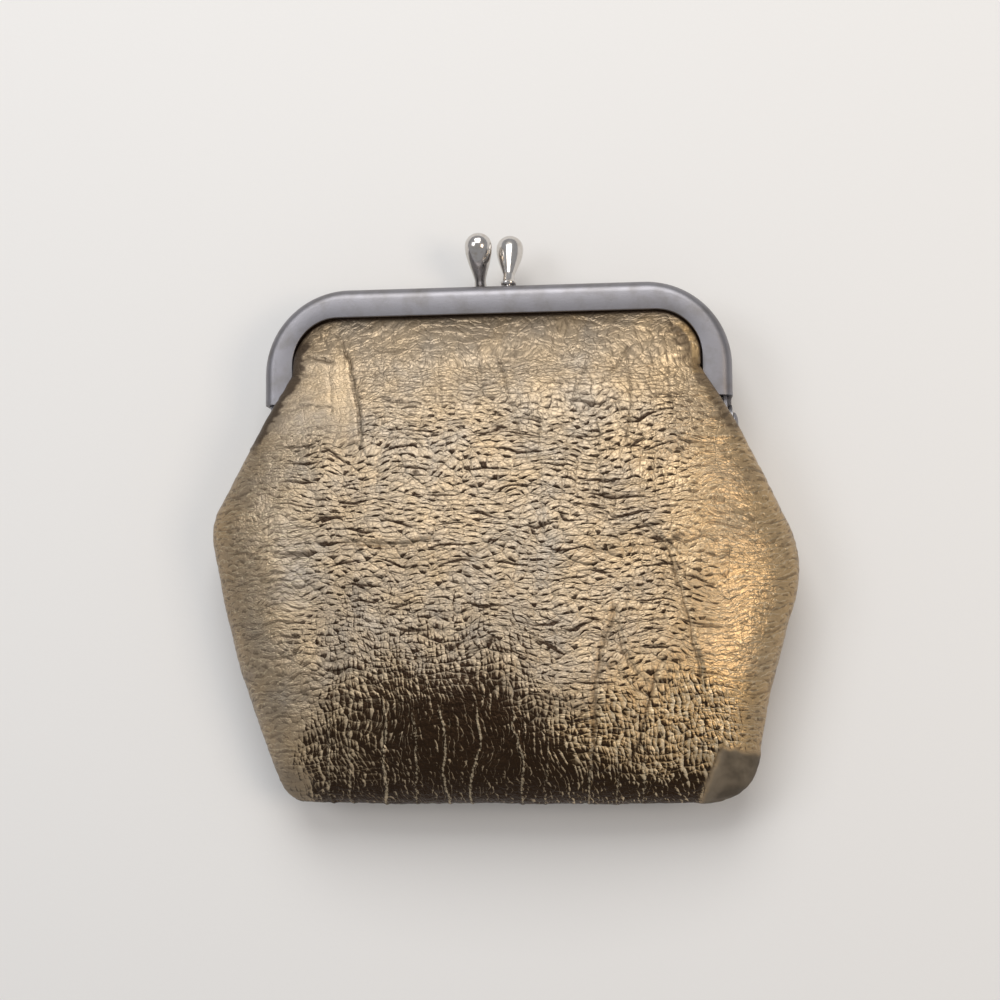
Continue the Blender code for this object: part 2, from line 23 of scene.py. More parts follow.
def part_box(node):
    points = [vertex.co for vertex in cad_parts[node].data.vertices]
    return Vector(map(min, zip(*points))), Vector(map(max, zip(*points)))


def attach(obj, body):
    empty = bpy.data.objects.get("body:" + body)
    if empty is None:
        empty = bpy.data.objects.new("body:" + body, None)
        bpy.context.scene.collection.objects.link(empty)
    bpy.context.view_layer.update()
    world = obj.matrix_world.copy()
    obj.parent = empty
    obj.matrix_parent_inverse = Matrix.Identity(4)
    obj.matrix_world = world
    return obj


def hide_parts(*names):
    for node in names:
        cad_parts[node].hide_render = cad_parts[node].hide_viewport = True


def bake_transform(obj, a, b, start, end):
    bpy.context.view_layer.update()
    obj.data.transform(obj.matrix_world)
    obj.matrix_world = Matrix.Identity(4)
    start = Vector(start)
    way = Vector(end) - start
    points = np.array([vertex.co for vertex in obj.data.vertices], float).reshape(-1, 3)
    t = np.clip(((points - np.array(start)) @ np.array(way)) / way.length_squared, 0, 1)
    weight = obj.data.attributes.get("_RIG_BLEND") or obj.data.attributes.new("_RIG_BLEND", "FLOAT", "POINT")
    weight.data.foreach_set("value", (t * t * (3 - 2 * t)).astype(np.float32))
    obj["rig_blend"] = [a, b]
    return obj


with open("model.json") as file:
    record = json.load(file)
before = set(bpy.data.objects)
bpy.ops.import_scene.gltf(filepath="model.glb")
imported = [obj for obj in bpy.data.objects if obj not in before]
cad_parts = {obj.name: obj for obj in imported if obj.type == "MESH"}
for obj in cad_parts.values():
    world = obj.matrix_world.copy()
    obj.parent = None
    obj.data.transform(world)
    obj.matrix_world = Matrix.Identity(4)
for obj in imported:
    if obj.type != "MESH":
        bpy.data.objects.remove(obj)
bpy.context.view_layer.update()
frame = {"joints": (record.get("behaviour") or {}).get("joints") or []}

LOG = logging.getLogger("coin_purse")
MM = 0.001
PURSE_BODY = "purse_body"
FRONT_HALF = "front_frame_half"
Grid = np.ndarray
Point = tuple[float, float, float]
Colour = tuple[float, float, float]
Pair = tuple[float, float]
QUARTER = math.pi / 2
TIP_RADIUS = 0.00002
HOLE_SIDES = 32


class Side(Enum):
    """A side of the purse, seen from the front."""

    LEFT = -1
    RIGHT = 1


class Facing(Enum):
    """Which way a panel or a frame half looks."""

    FRONT = 1
    REAR = -1


HALVES = ((Facing.REAR, "rear", PURSE_BODY), (Facing.FRONT, "front", FRONT_HALF))


# Shader and geometry trees


class Signal:
    """A socket of a node tree that takes part in Python expressions."""

    def __init__(self, graph: "Graph", socket: Any) -> None:
        """Wrap one output socket of the graph."""
        self.graph = graph
        self.socket = socket

    def _math(self, operation: str, *values: Any, clamp: bool = False) -> "Signal":
        """The result of a Math node on the values."""
        settings = {"operation": operation, "use_clamp": clamp}
        return self.graph.node(self.graph.math_kind, settings, dict(enumerate(values)))

    def __add__(self, other: Any) -> "Signal":
        """self + other."""
        return self._math("ADD", self, other)

    __radd__ = __add__

    def __sub__(self, other: Any) -> "Signal":
        """self - other."""
        return self._math("SUBTRACT", self, other)

    def __rsub__(self, other: Any) -> "Signal":
        """other - self."""
        return self._math("SUBTRACT", other, self)

    def __mul__(self, other: Any) -> "Signal":
        """self * other."""
        return self._math("MULTIPLY", self, other)

    def __truediv__(self, other: Any) -> "Signal":
        """self / other."""
        return self._math("DIVIDE", self, other)

    def limited(self) -> "Signal":
        """The value held between 0 and 1."""
        return self._math("ADD", self, 0.0, clamp=True)

    def above(self, low: float, high: float) -> "Signal":
        """0 below low, 1 above high and an even rise between them."""
        return self._math("DIVIDE", self - low, high - low, clamp=True)

    def wave(self) -> "Signal":
        """The sine of the value."""
        return self._math("SINE", self)

    def output(self, name: str) -> "Signal":
        """Another output of the same node."""
        return Signal(self.graph, self.socket.node.outputs[name])


class Graph:
    """Adds nodes to a tree, with a method for each kind that the purse uses."""

    math_kind = "ShaderNodeMath"

    def __init__(self, tree: bpy.types.NodeTree) -> None:
        """Work on the given tree."""
        self.tree = tree

    def node(self, kind: str, settings: dict[str, Any], sockets: dict[Any, Any]) -> Signal:
        """Add a node.

        Args:
            kind: The node's type.
            settings: Its properties, such as a Math node's operation.
            sockets: Values or links of its sockets, by name or number.

        Returns:
            The node's first visible output.
        """
        made = self.tree.nodes.new(kind)
        for name, value in settings.items():
            setattr(made, name, value)
        for key, value in sockets.items():
            self.feed(made.inputs[key], value)
        shown = [socket for socket in made.outputs if socket.enabled and not socket.is_unavailable]
        return Signal(self, shown[0]) if shown else Signal(self, made)

    def feed(self, socket: Any, value: Any) -> None:
        """Link a signal to a socket, or set the socket's value."""
        if isinstance(value, Signal):
            self.tree.links.new(value.socket, socket)
        elif isinstance(value, tuple) and len(value) == 3 and socket.type == "RGBA":
            socket.default_value = (*value, 1.0)
        else:
            socket.default_value = value

    def blend(self, factor: Any, first: Any, second: Any) -> Signal:
        """Mix two colours."""
        return self.node("ShaderNodeMix", {"data_type": "RGBA"}, {0: factor, 6: first, 7: second})

    def vector(self, operation: str, *values: Any) -> Signal:
        """The result of a Vector Math node."""
        return self.node("ShaderNodeVectorMath", {"operation": operation}, dict(enumerate(values)))

    def times(self, vector: Signal, factor: Any) -> Signal:
        """A vector times a number."""
        sockets = {0: vector, "Scale": factor}
        return self.node("ShaderNodeVectorMath", {"operation": "SCALE"}, sockets)

    def parts(self, vector: Signal) -> list[Signal]:
        """The three numbers of a vector or colour."""
        split = self.node("ShaderNodeSeparateXYZ", {}, {0: vector})
        return [split.output(axis) for axis in "XYZ"]

    def noise(self, place: Signal, scale: float, detail: float = 2.0, rough: float = 0.5) -> Signal:
        """Noise from 0 to 1 over a place, with features about 1 / scale long."""
        sockets = {"Vector": place, "Scale": scale, "Detail": detail, "Roughness": rough}
        return self.node("ShaderNodeTexNoise", {"noise_dimensions": "3D"}, sockets)

    def specks(self, place: Signal, scale: float) -> Signal:
        """Distance to the nearest of some scattered points."""
        sockets = {"Vector": place, "Scale": scale}
        return self.node("ShaderNodeTexVoronoi", {"voronoi_dimensions": "3D"}, sockets)

    def cells(self, place: Signal, wide: float, tall: float) -> "Cells":
        """Irregular cells of a size over a flat place.

        Args:
            place: The flat place.
            wide: Width of a cell.
            tall: Height of a cell.

        Returns:
            What is known of each point among the cells.
        """
        scaled = self.vector("DIVIDE", place, (wide, tall, 1.0))
        nearest, border = (
            self.node(
                "ShaderNodeTexVoronoi",
                {"voronoi_dimensions": "2D", "feature": feature},
                {"Vector": scaled, "Scale": 1.0},
            )
            for feature in ("F1", "DISTANCE_TO_EDGE")
        )
        away = self.vector("SUBTRACT", scaled, nearest.output("Position"))
        right, below, _ = self.parts(away)
        luck, chance, _ = self.parts(nearest.output("Color"))
        return Cells(border, right, below, luck, chance)

    def bump(self, height: Signal, distance: float, strength: float) -> Signal:
        """A normal bent by a height."""
        sockets = {"Strength": strength, "Distance": distance, "Height": height}
        return self.node("ShaderNodeBump", {}, sockets)

    def attribute(self, name: str) -> Signal:
        """The value of one of the mesh's own attributes."""
        return self.node("ShaderNodeAttribute", {"attribute_name": name}, {})

    def object_place(self, unit: float = MM) -> Signal:
        """The point in the CAD frame, in the given unit."""
        here = self.node("ShaderNodeTexCoord", {}, {}).output("Object")
        return self.vector("MULTIPLY", here, (1 / unit,) * 3)


@dataclass(frozen=True)
class Cells:
    """What is known of a point among crumpled cells, in cell sizes.

    Fields: distance to the cell's border, place right of and below the cell's
    middle, and two random numbers of the cell.
    """

    border: Signal
    right: Signal
    below: Signal
    luck: Signal
    chance: Signal

    def crack(self, width: float, share: float, start: float = 0.06) -> Signal:
        """Painted shadows: short lines, tapered to both ends, along the lower borders of a share of the
        cells, where each plate steps down.

        Args:
            width: Width of a shadow line.
            share: Share of the cells that have one.
            start: How far below the middle of a cell it begins.

        Returns:
            1 on a shadow line, 0 away from them all.
        """
        middle = (1 - self.right * self.right * 6.5) * (0.65 + self.chance * 0.7)
        line = ((middle * width - self.border) * (2.2 / width)).limited()
        return line * self.below.above(start, start + 0.2) * self.luck.above(1 - share, 1.2 - share)

    def glint(self, away: Signal, width: float, share: float) -> Signal:
        """Painted highlights: bright edge lines on the sides that lie away from the middle, on a share of
        the cells.
        """
        line = (1 - self.border.above(width * 0.4, width)) * away.above(0.10, 0.30)
        return line * self.chance.above(1 - share, 1.15 - share)


# Finishes


@dataclass(frozen=True)
class Finish:
    """A surface of the purse, as a material round one Principled shader."""

    name: str

    def make(self) -> bpy.types.Material:
        """The finished material.

        Returns:
            The material, with the sockets that the finish paints.
        """
        made = bpy.data.materials.new(self.name)
        made.use_nodes = True
        graph = Graph(made.node_tree)
        shader = made.node_tree.nodes["Principled BSDF"]
        for socket, value in self._paint(graph).items():
            graph.feed(shader.inputs[socket], value)
        return made

    def _paint(self, g: Graph) -> dict[str, Any]:
        """The shader's sockets and what feeds them, from nodes added to the graph."""
        raise NotImplementedError


@dataclass(frozen=True)
class SatinNickel(Finish):
    """Nickel plate of the frame: soft sheen, fine handling scratches, dull spots."""

    name: str = "satin_nickel"
    colour: Colour = (0.28, 0.272, 0.29)
    dull_colour: Colour = (0.22, 0.208, 0.208)
    spot: Colour = (0.16, 0.13, 0.11)
    roughness: float = 0.34
    scratch_depth: float = 0.00003

    def _paint(self, g: Graph) -> dict[str, Any]:
        """Sockets of the plated sheet.

        Args:
            g: The material's graph.

        Returns:
            What feeds each of the shader's sockets.
        """
        here = g.object_place()
        cloud = g.noise(here, 0.22, 4.0, 0.6)
        stretched = g.vector("MULTIPLY", here, (0.35, 2.6, 2.6))
        scratch = g.noise(stretched, 2.4, 3.0, 0.65)
        specks = 1 - g.specks(here, 1.6).above(0.05, 0.13)
        rubbed = cloud.above(0.45, 0.70)
        colour = g.blend(rubbed, self.colour, self.dull_colour)
        colour = g.blend(specks * 0.35, colour, self.spot)
        height = scratch * 0.5 + g.noise(here, 5.5, 2.0) * 0.5
        return {
            "Base Color": colour,
            "Metallic": 1.0,
            "Roughness": self.roughness + cloud * 0.12 + scratch * 0.08,
            "Normal": g.bump(height, self.scratch_depth, 0.6),
        }


@dataclass(frozen=True)
class PolishedNickel(Finish):
    """Bright plate of the clasp knobs and rivets, rubbed by the fingers."""

    name: str = "polished_nickel"
    colour: Colour = (0.66, 0.63, 0.60)
    touched: Colour = (0.50, 0.44, 0.37)
    roughness: float = 0.13
    scratch_depth: float = 0.00001

    def _paint(self, g: Graph) -> dict[str, Any]:
        """Sockets of the polished plate.

        Args:
            g: The material's graph.

        Returns:
            What feeds each of the shader's sockets.
        """
        here = g.object_place()
        film = g.noise(here, 0.9, 4.0, 0.65)
        scratch = g.noise(g.vector("MULTIPLY", here, (1.0, 0.4, 3.2)), 3.2, 2.0)
        colour = g.blend(film.above(0.5, 0.8), self.colour, self.touched)
        return {
            "Base Color": colour,
            "Metallic": 1.0,
            "Roughness": self.roughness + film * 0.08,
            "Normal": g.bump(scratch, self.scratch_depth, 0.5),
        }


@dataclass(frozen=True)
class FoilLeather(Finish):
    """Leather under a thin metallic foil that has crinkled and rubbed, with painted shade and painted
    highlights in its colour.

    The cells of its crinkles, from the plates to the puckers, are in millimetres.
    """

    name: str = "foil_leather"
    foil: Colour = (0.43, 0.345, 0.245)
    cool_foil: Colour = (0.38, 0.32, 0.25)
    warm_foil: Colour = (0.70, 0.475, 0.235)
    lit_foil: Colour = (0.82, 0.67, 0.45)
    # Dark brown of the painted shade: shadow lines under the plates, their low sides, the darker bottom and
    # the foil under the lip
    hide: Colour = (0.028, 0.013, 0.005)
    bare: Colour = (0.085, 0.064, 0.040)
    rubbed: Colour = (0.185, 0.145, 0.098)
    roughness: float = 0.41
    crinkle_depth: float = 0.00024
    plates: Pair = (2.1, 1.15)
    fine_plates: Pair = (0.85, 0.56)
    upright_plates: Pair = (0.62, 1.55)
    wrinkles: Pair = (1.7, 0.72)
    long_folds: Pair = (5.6, 13.0)
    level_folds: Pair = (10.5, 3.1)
    puckers: Pair = (9.5, 3.6)

    def relief(self, g: Graph, place: Signal) -> tuple[Signal, Signal]:
        """The foil's coarse relief over the panel.

        Args:
            g: The graph to add nodes to.
            place: Place on the panel in millimetres.

        Returns:
            Height of the crumpled plates and of the long puckers, each about -0.5 to 0.5.
        """
        cells = g.cells(place, *self.plates)
        plate = cells.border.above(0.0, 0.30) * 0.55 + cells.below * 0.75
        plate = plate + cells.right * (cells.chance - 0.5) * 0.6 + (cells.luck - 0.5) * 0.30
        long_cells = g.cells(place, *self.long_folds).border.above(0.0, 0.07)
        level_cells = g.cells(place, *self.puckers).border.above(0.0, 0.12)
        return plate - 0.3, long_cells * 0.3 + level_cells * 0.5 - 0.8

    def _paint(self, g: Graph) -> dict[str, Any]:
        """The foil's sockets, from the panel's own place and zone attributes.

        Args:
            g: The material's graph.

        Returns:
            What feeds each of the shader's sockets.
        """
        place = g.attribute("panel_place").output("Vector")
        names = ("crease", "thread", "crush", "plump", "satin", "worn", "warm", "dark", "seat")
        crease, thread, crush, plump, satin, worn, warm, dark, seat = (
            g.attribute(name).output("Fac") for name in names
        )
        grain = g.noise(place, 1.9, 3.0, 0.6)
        patches = g.noise(place, 0.16, 3.0, 0.6)
        shiver = g.noise(place, 2.2, 4.0, 0.6).output("Color")
        bent = g.vector("MULTIPLY_ADD", shiver, (0.34, 0.22, 0.0), place)
        sizes = (self.plates, self.fine_plates, self.upright_plates)
        cells, fine, small = (g.cells(bent, *size) for size in sizes)
        sizes = (self.wrinkles, self.long_folds, self.level_folds)
        wrinkles, long_cells, level = (g.cells(bent, *size) for size in sizes)

        # Painted shade: shadow lines under the plates, darker plate borders and hollows, and the lines of
        # the folds painted darker
        long_line = 1 - long_cells.border.above(0.004, 0.018)
        shadow_dashes = cells.crack(0.56, 0.95) + level.crack(0.20, 0.95, 0.12)
        shadow_dashes = shadow_dashes + fine.crack(0.50, 0.5) * 0.7
        border_shade = (1 - cells.border.above(0.02, 0.08)) * 0.05
        border_shade = border_shade + (1 - fine.border.above(0.03, 0.16)) * 0.04
        valley_shade = (1 - cells.border.above(0.03, 0.20)) * plump * (1 - crush) * 0.28
        line = (crease + (grain - 0.5) * 0.5).above(0.50, 0.86)
        shade = shadow_dashes.limited() * crush * (0.94 - line * 0.75) + border_shade * crush + long_line * 0.08
        shade = (shade + valley_shade + line * (0.48 - crush * 0.14 + dark * 0.55)).limited()

        # Painted shade on the low side of each plate, spreading over the darker zones; painted highlights on
        # the other side and along the plates' lit upper edges
        low_side = cells.below * 0.28 + small.below * 0.35 - small.right * 0.75
        low_side = low_side + (small.luck - 0.5) * 0.5
        low_side_shade = ((low_side * 1.7 + dark * 3.2 - 1.5) * 1.5).limited() * dark.above(0.02, 0.25)
        lit_rims = cells.glint(cells.below * -1, 0.26, 0.9) * (1 - dark.above(0.55, 0.85)) * 1.35
        low_side_shade = low_side_shade * (1 - (lit_rims + small.glint(small.right, 0.16, 0.34)).limited() * 0.64)
        upper_side_highlight = (low_side * -1.8 - 0.05).limited() * dark.above(0.20, 0.42)
        upper_side_highlight = upper_side_highlight * (1 - low_side_shade) * (1 - line)

        # Colour, from the whole foil through painted highlights and painted shade to the worn, bare patches
        # Painted highlight along the ridges of the threads
        thread_highlight = (thread + grain - 0.5).above(0.65, 0.87)
        # Painted highlights: bright edge lines of the fine wrinkles on the satin sides, which also raise the
        # relief
        streak = (wrinkles.glint(wrinkles.below * -1, 0.26, 0.75) * satin).limited()
        colour = g.blend(patches.above(0.35, 0.65), self.cool_foil, self.foil)
        colour = g.blend((warm + (patches - 0.5) * 0.4).limited(), colour, self.warm_foil)
        # Painted highlights along the wrinkles and the fold lines
        colour = g.blend((streak * 0.62 + line * crush * 0.16).limited(), colour, self.lit_foil)
        # Painted shade: shadow lines and hollows, the darker zones and the low sides of the plates
        for share in (shade, dark * 0.26, low_side_shade * 0.97):
            colour = g.blend(share, colour, self.hide)
        # Painted highlights on the plates' upper sides and along the ridges of the threads
        for share in ((upper_side_highlight * warm * 0.95).limited(), thread_highlight * 0.64):
            colour = g.blend(share, colour, self.lit_foil)
        rubbed = g.blend(patches.above(0.42, 0.62), self.bare, self.rubbed)
        colour = g.blend(worn, colour, rubbed)
        # Painted shade under the frame's lip, down the side walls and near the edges
        colour = g.blend(seat, colour, self.hide)

        # Relief too fine for the mesh
        plate = cells.border.above(0.0, 0.14) * 0.30 + cells.below * 0.44
        pips = fine.border.above(0.0, 0.25) * 0.16 + fine.below * 0.22 + (fine.luck - 0.5) * 0.12
        upright = small.border.above(0.0, 0.25) * 0.30 + small.right * 0.45
        height = plate * plump * (1 - dark * 0.75) + pips * (plump * 0.6 + 0.4) + upright * dark
        height = height + streak * 0.30 + grain * 0.20 - long_line * 0.10 - line * 0.4
        height = height * (1 - worn * 0.85)
        gone = (worn + seat * 0.5 + shade * 0.2).limited()
        roughness = self.roughness - satin * 0.10 + gone * 0.2 + (grain - 0.5) * 0.14
        return {
            "Base Color": colour,
            "Metallic": (0.90 - gone * 0.6).limited(),
            "Roughness": roughness.limited(),
            "Normal": g.bump(height, self.crinkle_depth, 0.85),
        }


@dataclass(frozen=True)
class LiningCloth(Finish):
    """Fine plain-woven cloth of the lining, a little soiled by coins."""

    name: str = "lining_cloth"
    colour: Colour = (0.40, 0.275, 0.165)
    raised: Colour = (0.62, 0.47, 0.31)
    soiled: Colour = (0.17, 0.115, 0.075)
    threads_per_mm: float = 2.4
    thread_depth: float = 0.00006

    def _paint(self, g: Graph) -> dict[str, Any]:
        """Sockets of the weave, which follows the panel's own place.

        Args:
            g: The material's graph.

        Returns:
            What feeds each of the shader's sockets.
        """
        place = g.attribute("panel_place").output("Vector")
        warp, weft, _ = g.parts(g.vector("MULTIPLY", place, (math.pi * self.threads_per_mm,) * 3))
        weave = warp.wave() * weft.wave() * 0.5 + 0.5
        soil = g.noise(place, 0.12, 4.0, 0.65)
        # Painted highlight: the raised crossings of the weave are painted lighter
        colour = g.blend(weave * 0.30, self.colour, self.raised)
        colour = g.blend(soil.above(0.45, 0.75) * 0.6, colour, self.soiled)
        return {
            "Base Color": colour,
            "Roughness": 0.72 + soil * 0.15,
            "Normal": g.bump(weave + g.noise(place, 7.0) * 0.4, self.thread_depth, 0.7),
        }


@dataclass(frozen=True)
class SpunThread(Finish):
    """Sewing thread or twisted paper: plies seen as slanting streaks."""

    colour: Colour
    shadow: Colour
    ply: float

    def _paint(self, g: Graph) -> dict[str, Any]:
        """Sockets of the strand.

        Args:
            g: The material's graph.

        Returns:
            What feeds each of the shader's sockets.
        """
        here = g.object_place(self.ply)
        x, y, z = g.parts(here)
        slant = ((x + y + z) * math.pi).wave()
        fuzz = g.noise(here, 1.7, 3.0)
        colour = g.blend((slant * 0.25 + fuzz * 0.6).limited(), self.shadow, self.colour)
        return {
            "Base Color": colour,
            "Roughness": 0.75 + fuzz * 0.15,
            "Normal": g.bump(slant * 0.5 + fuzz, self.ply / 12, 0.6),
        }


@dataclass(frozen=True)
class StudioPaper(Finish):
    """Matt pale paper under the purse."""

    name: str = "studio_paper"
    colour: Colour = (0.80, 0.79, 0.775)
    cloud: Colour = (0.76, 0.75, 0.735)
    tooth_depth: float = 0.00004

    def _paint(self, g: Graph) -> dict[str, Any]:
        """Sockets of the paper.

        Args:
            g: The material's graph.

        Returns:
            What feeds each of the shader's sockets.
        """
        here = g.object_place()
        tooth = g.noise(here, 1.2, 3.0)
        colour = g.blend(g.noise(here, 0.01, 2.0) * 0.25, self.colour, self.cloud)
        return {
            "Base Color": colour,
            "Roughness": 0.85,
            "Normal": g.bump(tooth, self.tooth_depth, 0.3),
        }


# Numbers that repeat on every run


def eased(value: Any, start: float, end: float) -> Any:
    """0 before start, 1 after end and a smooth rise between them."""
    t = np.clip((np.asarray(value, float) - start) / (end - start), 0.0, 1.0)
    return t * t * (3 - 2 * t)


def faded(value: Any, start: float, end: float) -> Any:
    """1 before start, 0 after end and a smooth fall between them."""
    return 1 - eased(value, start, end)


def arc(middle: Pair, radius: float, start: float, end: float, steps: int) -> list[Pair]:
    """Points evenly along an arc, from one angle to another."""
    turns = np.linspace(start, end, steps + 1)
    return [(middle[0] + radius * math.cos(a), middle[1] + radius * math.sin(a)) for a in turns]


def circle(radius: float, count: int) -> list[Pair]:
    """Points evenly round a circle."""
    return arc((0.0, 0.0), radius, 0.0, 2 * math.pi, count)[:-1]


HASH_X, HASH_Y, HASH_SEED, HASH_START = 73856093, 19349663, 83492791, 12345
HASH_STEPS = ((13, 1274126177), (16, 668265263), (15, 2246822519))
HASH_END = 14
LOW_32, LOW_24 = 0xFFFFFFFF, 0xFFFFFF


def lattice(ix: Grid, iy: Grid, seed: int) -> Grid:
    """A repeatable number from 0 to 1 for each pair of whole numbers.

    Args:
        ix: Whole numbers across.
        iy: Whole numbers down.
        seed: Picks the pattern.

    Returns:
        A number for each pair.
    """
    n = ix.astype(np.int64).astype(np.uint64) * np.uint64(HASH_X)
    n ^= iy.astype(np.int64).astype(np.uint64) * np.uint64(HASH_Y)
    n ^= np.uint64(seed * HASH_SEED + HASH_START)
    for shift, factor in HASH_STEPS:
        n = ((n ^ (n >> np.uint64(shift))) * np.uint64(factor)) & np.uint64(LOW_32)
    return ((n ^ (n >> np.uint64(HASH_END))) & np.uint64(LOW_24)).astype(float) / LOW_24


def ripple(x: Grid, y: Grid, seed: int, octaves: int = 1) -> Grid:
    """Smooth noise from about -1 to 1, one bump per unit.

    Args:
        x: Place across, in bumps.
        y: Place down, in bumps.
        seed: Picks the pattern.
        octaves: Layers, each half as long and half as high as the last.

    Returns:
        The noise at each point.
    """
    total, size = np.zeros(np.broadcast(x, y).shape), 1.0
    for octave in range(octaves):
        px, py = x * 2**octave + 17.3 * octave, y * 2**octave - 9.1 * octave
        ix, iy = np.floor(px), np.floor(py)
        fx, fy = eased(px - ix, 0, 1), eased(py - iy, 0, 1)
        corners = [[lattice(ix + i, iy + j, seed + octave) for i in (0, 1)] for j in (0, 1)]
        low = corners[0][0] * (1 - fx) + corners[0][1] * fx
        high = corners[1][0] * (1 - fx) + corners[1][1] * fx
        total = total + (low * (1 - fy) + high * fy - 0.5) * 2 * size
        size *= 0.5
    return total


# Meshes


def linked(name: str, data: Any) -> bpy.types.Object:
    """A new object of the scene that holds data.

    Args:
        name: Its name.
        data: A mesh, curve, lamp or camera.

    Returns:
        The object.
    """
    made = bpy.data.objects.new(name, data)
    bpy.context.scene.collection.objects.link(made)
    return made


def evaluated(carrier: bpy.types.Object) -> bpy.types.Mesh:
    """The mesh that an object's modifiers make."""
    graph = bpy.context.evaluated_depsgraph_get()
    return bpy.data.meshes.new_from_object(carrier.evaluated_get(graph))


def put(name: str, data: bpy.types.Mesh, surface: bpy.types.Material) -> bpy.types.Object:
    """Put a mesh in the scene with its finish.

    Args:
        name: The object's name.
        data: Its mesh.
        surface: Its finish.

    Returns:
        The object.
    """
    data.materials.clear()
    data.materials.append(surface)
    return linked(name, data)


def solid(
    name: str, points: Sequence[Any], faces: Sequence[Any], crease: float = 35.0
) -> bpy.types.Mesh:
    """A closed mesh with outward normals, smooth up to the crease angle in degrees.

    Args:
        name: The mesh's name.
        points: Its points.
        faces: Its faces, as numbers of points.
        crease: Angle from which an edge stays sharp.

    Returns:
        The mesh.
    """
    data = bpy.data.meshes.new(name)
    data.from_pydata([tuple(map(float, p)) for p in points], [], faces)
    shape = bmesh.new()
    shape.from_mesh(data)
    bmesh.ops.recalc_face_normals(shape, faces=shape.faces[:])
    shape.to_mesh(data)
    shape.free()
    data.shade_smooth()
    data.set_sharp_from_angle(angle=math.radians(crease))
    return data


def tube(name: str, rings: Sequence[Sequence[Point]], crease: float = 35.0) -> bpy.types.Mesh:
    """A closed mesh through rings of points, capped at both ends.

    Args:
        name: The mesh's name.
        rings: Rings with equal numbers of points, from end to end.
        crease: Angle from which an edge stays sharp.

    Returns:
        The mesh.
    """
    count = len(rings[0])
    faces = []
    for r in range(len(rings) - 1):
        for c in range(count):
            a, b = r * count + c, r * count + (c + 1) % count
            faces.append((a, b, b + count, a + count))
    last = (len(rings) - 1) * count
    faces += [tuple(range(count)), tuple(range(last, last + count))]
    return solid(name, [point for ring in rings for point in ring], faces, crease)


def shell(name: str, outer: Grid, inner: Grid, step: int) -> bpy.types.Mesh:
    """A sheet with thickness, closed round its rim.

    Args:
        name: The mesh's name.
        outer: Points of the outer face, rows by columns.
        inner: Points of the inner face, one for each step-th row and column.
        step: How many outer cells meet one inner cell.

    Returns:
        The mesh; its first points are the outer grid's, in order.
    """
    rows, columns = outer.shape[:2]
    in_rows, in_columns = inner.shape[:2]
    count = rows * columns
    out = np.arange(count).reshape(rows, columns)
    ins = np.arange(in_rows * in_columns).reshape(in_rows, in_columns) + count
    faces: list[tuple[int, ...]] = []
    for grid, flip in ((out, False), (ins, True)):
        corners = [grid[:-1, :-1], grid[1:, :-1], grid[1:, 1:], grid[:-1, 1:]]
        quads = np.stack(corners, axis=-1).reshape(-1, 4)
        faces += [tuple(q) for q in (quads[:, ::-1] if flip else quads).tolist()]
    border = [*out[0, :-1], *out[:-1, -1], *out[-1, :0:-1], *out[:0:-1, 0]]
    inside = [*ins[0, :-1], *ins[:-1, -1], *ins[-1, :0:-1], *ins[:0:-1, 0]]
    for i, corner in enumerate(inside):
        following = inside[(i + 1) % len(inside)]
        run = [border[(i * step + k) % len(border)] for k in range(step + 1)]
        faces.append(tuple(int(v) for v in (*run, following, corner)))
    points = np.concatenate([outer.reshape(-1, 3), inner.reshape(-1, 3)])
    return solid(name, points, faces, crease=70.0)


def add_values(data: bpy.types.Mesh, name: str, values: Grid, kind: str = "FLOAT") -> None:
    """Store one number, or one vector, for each point of a mesh.

    Args:
        data: The mesh.
        name: The attribute's name.
        values: What to store, in the order of the points.
        kind: FLOAT, or FLOAT_VECTOR for vectors.
    """
    made = data.attributes.new(name, kind, "POINT")
    member = "vector" if kind == "FLOAT_VECTOR" else "value"
    made.data.foreach_set(member, values.astype(np.float32).ravel())


def joined(target: bpy.types.Object, tools: Sequence[tuple[bpy.types.Mesh, str]]) -> bpy.types.Mesh:
    """The target's mesh after a row of exact Booleans with the tools.

    Args:
        target: The object to work on.
        tools: Each tool's mesh and its operation.

    Returns:
        The new mesh.
    """
    helpers = []
    for shape, operation in tools:
        helpers.append(linked("tool", shape))
        step = target.modifiers.new("step", "BOOLEAN")
        step.operation, step.object, step.solver = operation, helpers[-1], "EXACT"
    made = evaluated(target)
    target.modifiers.clear()
    for helper in helpers:
        bpy.data.objects.remove(helper, do_unlink=True)
    return made


# The purse's own sizes


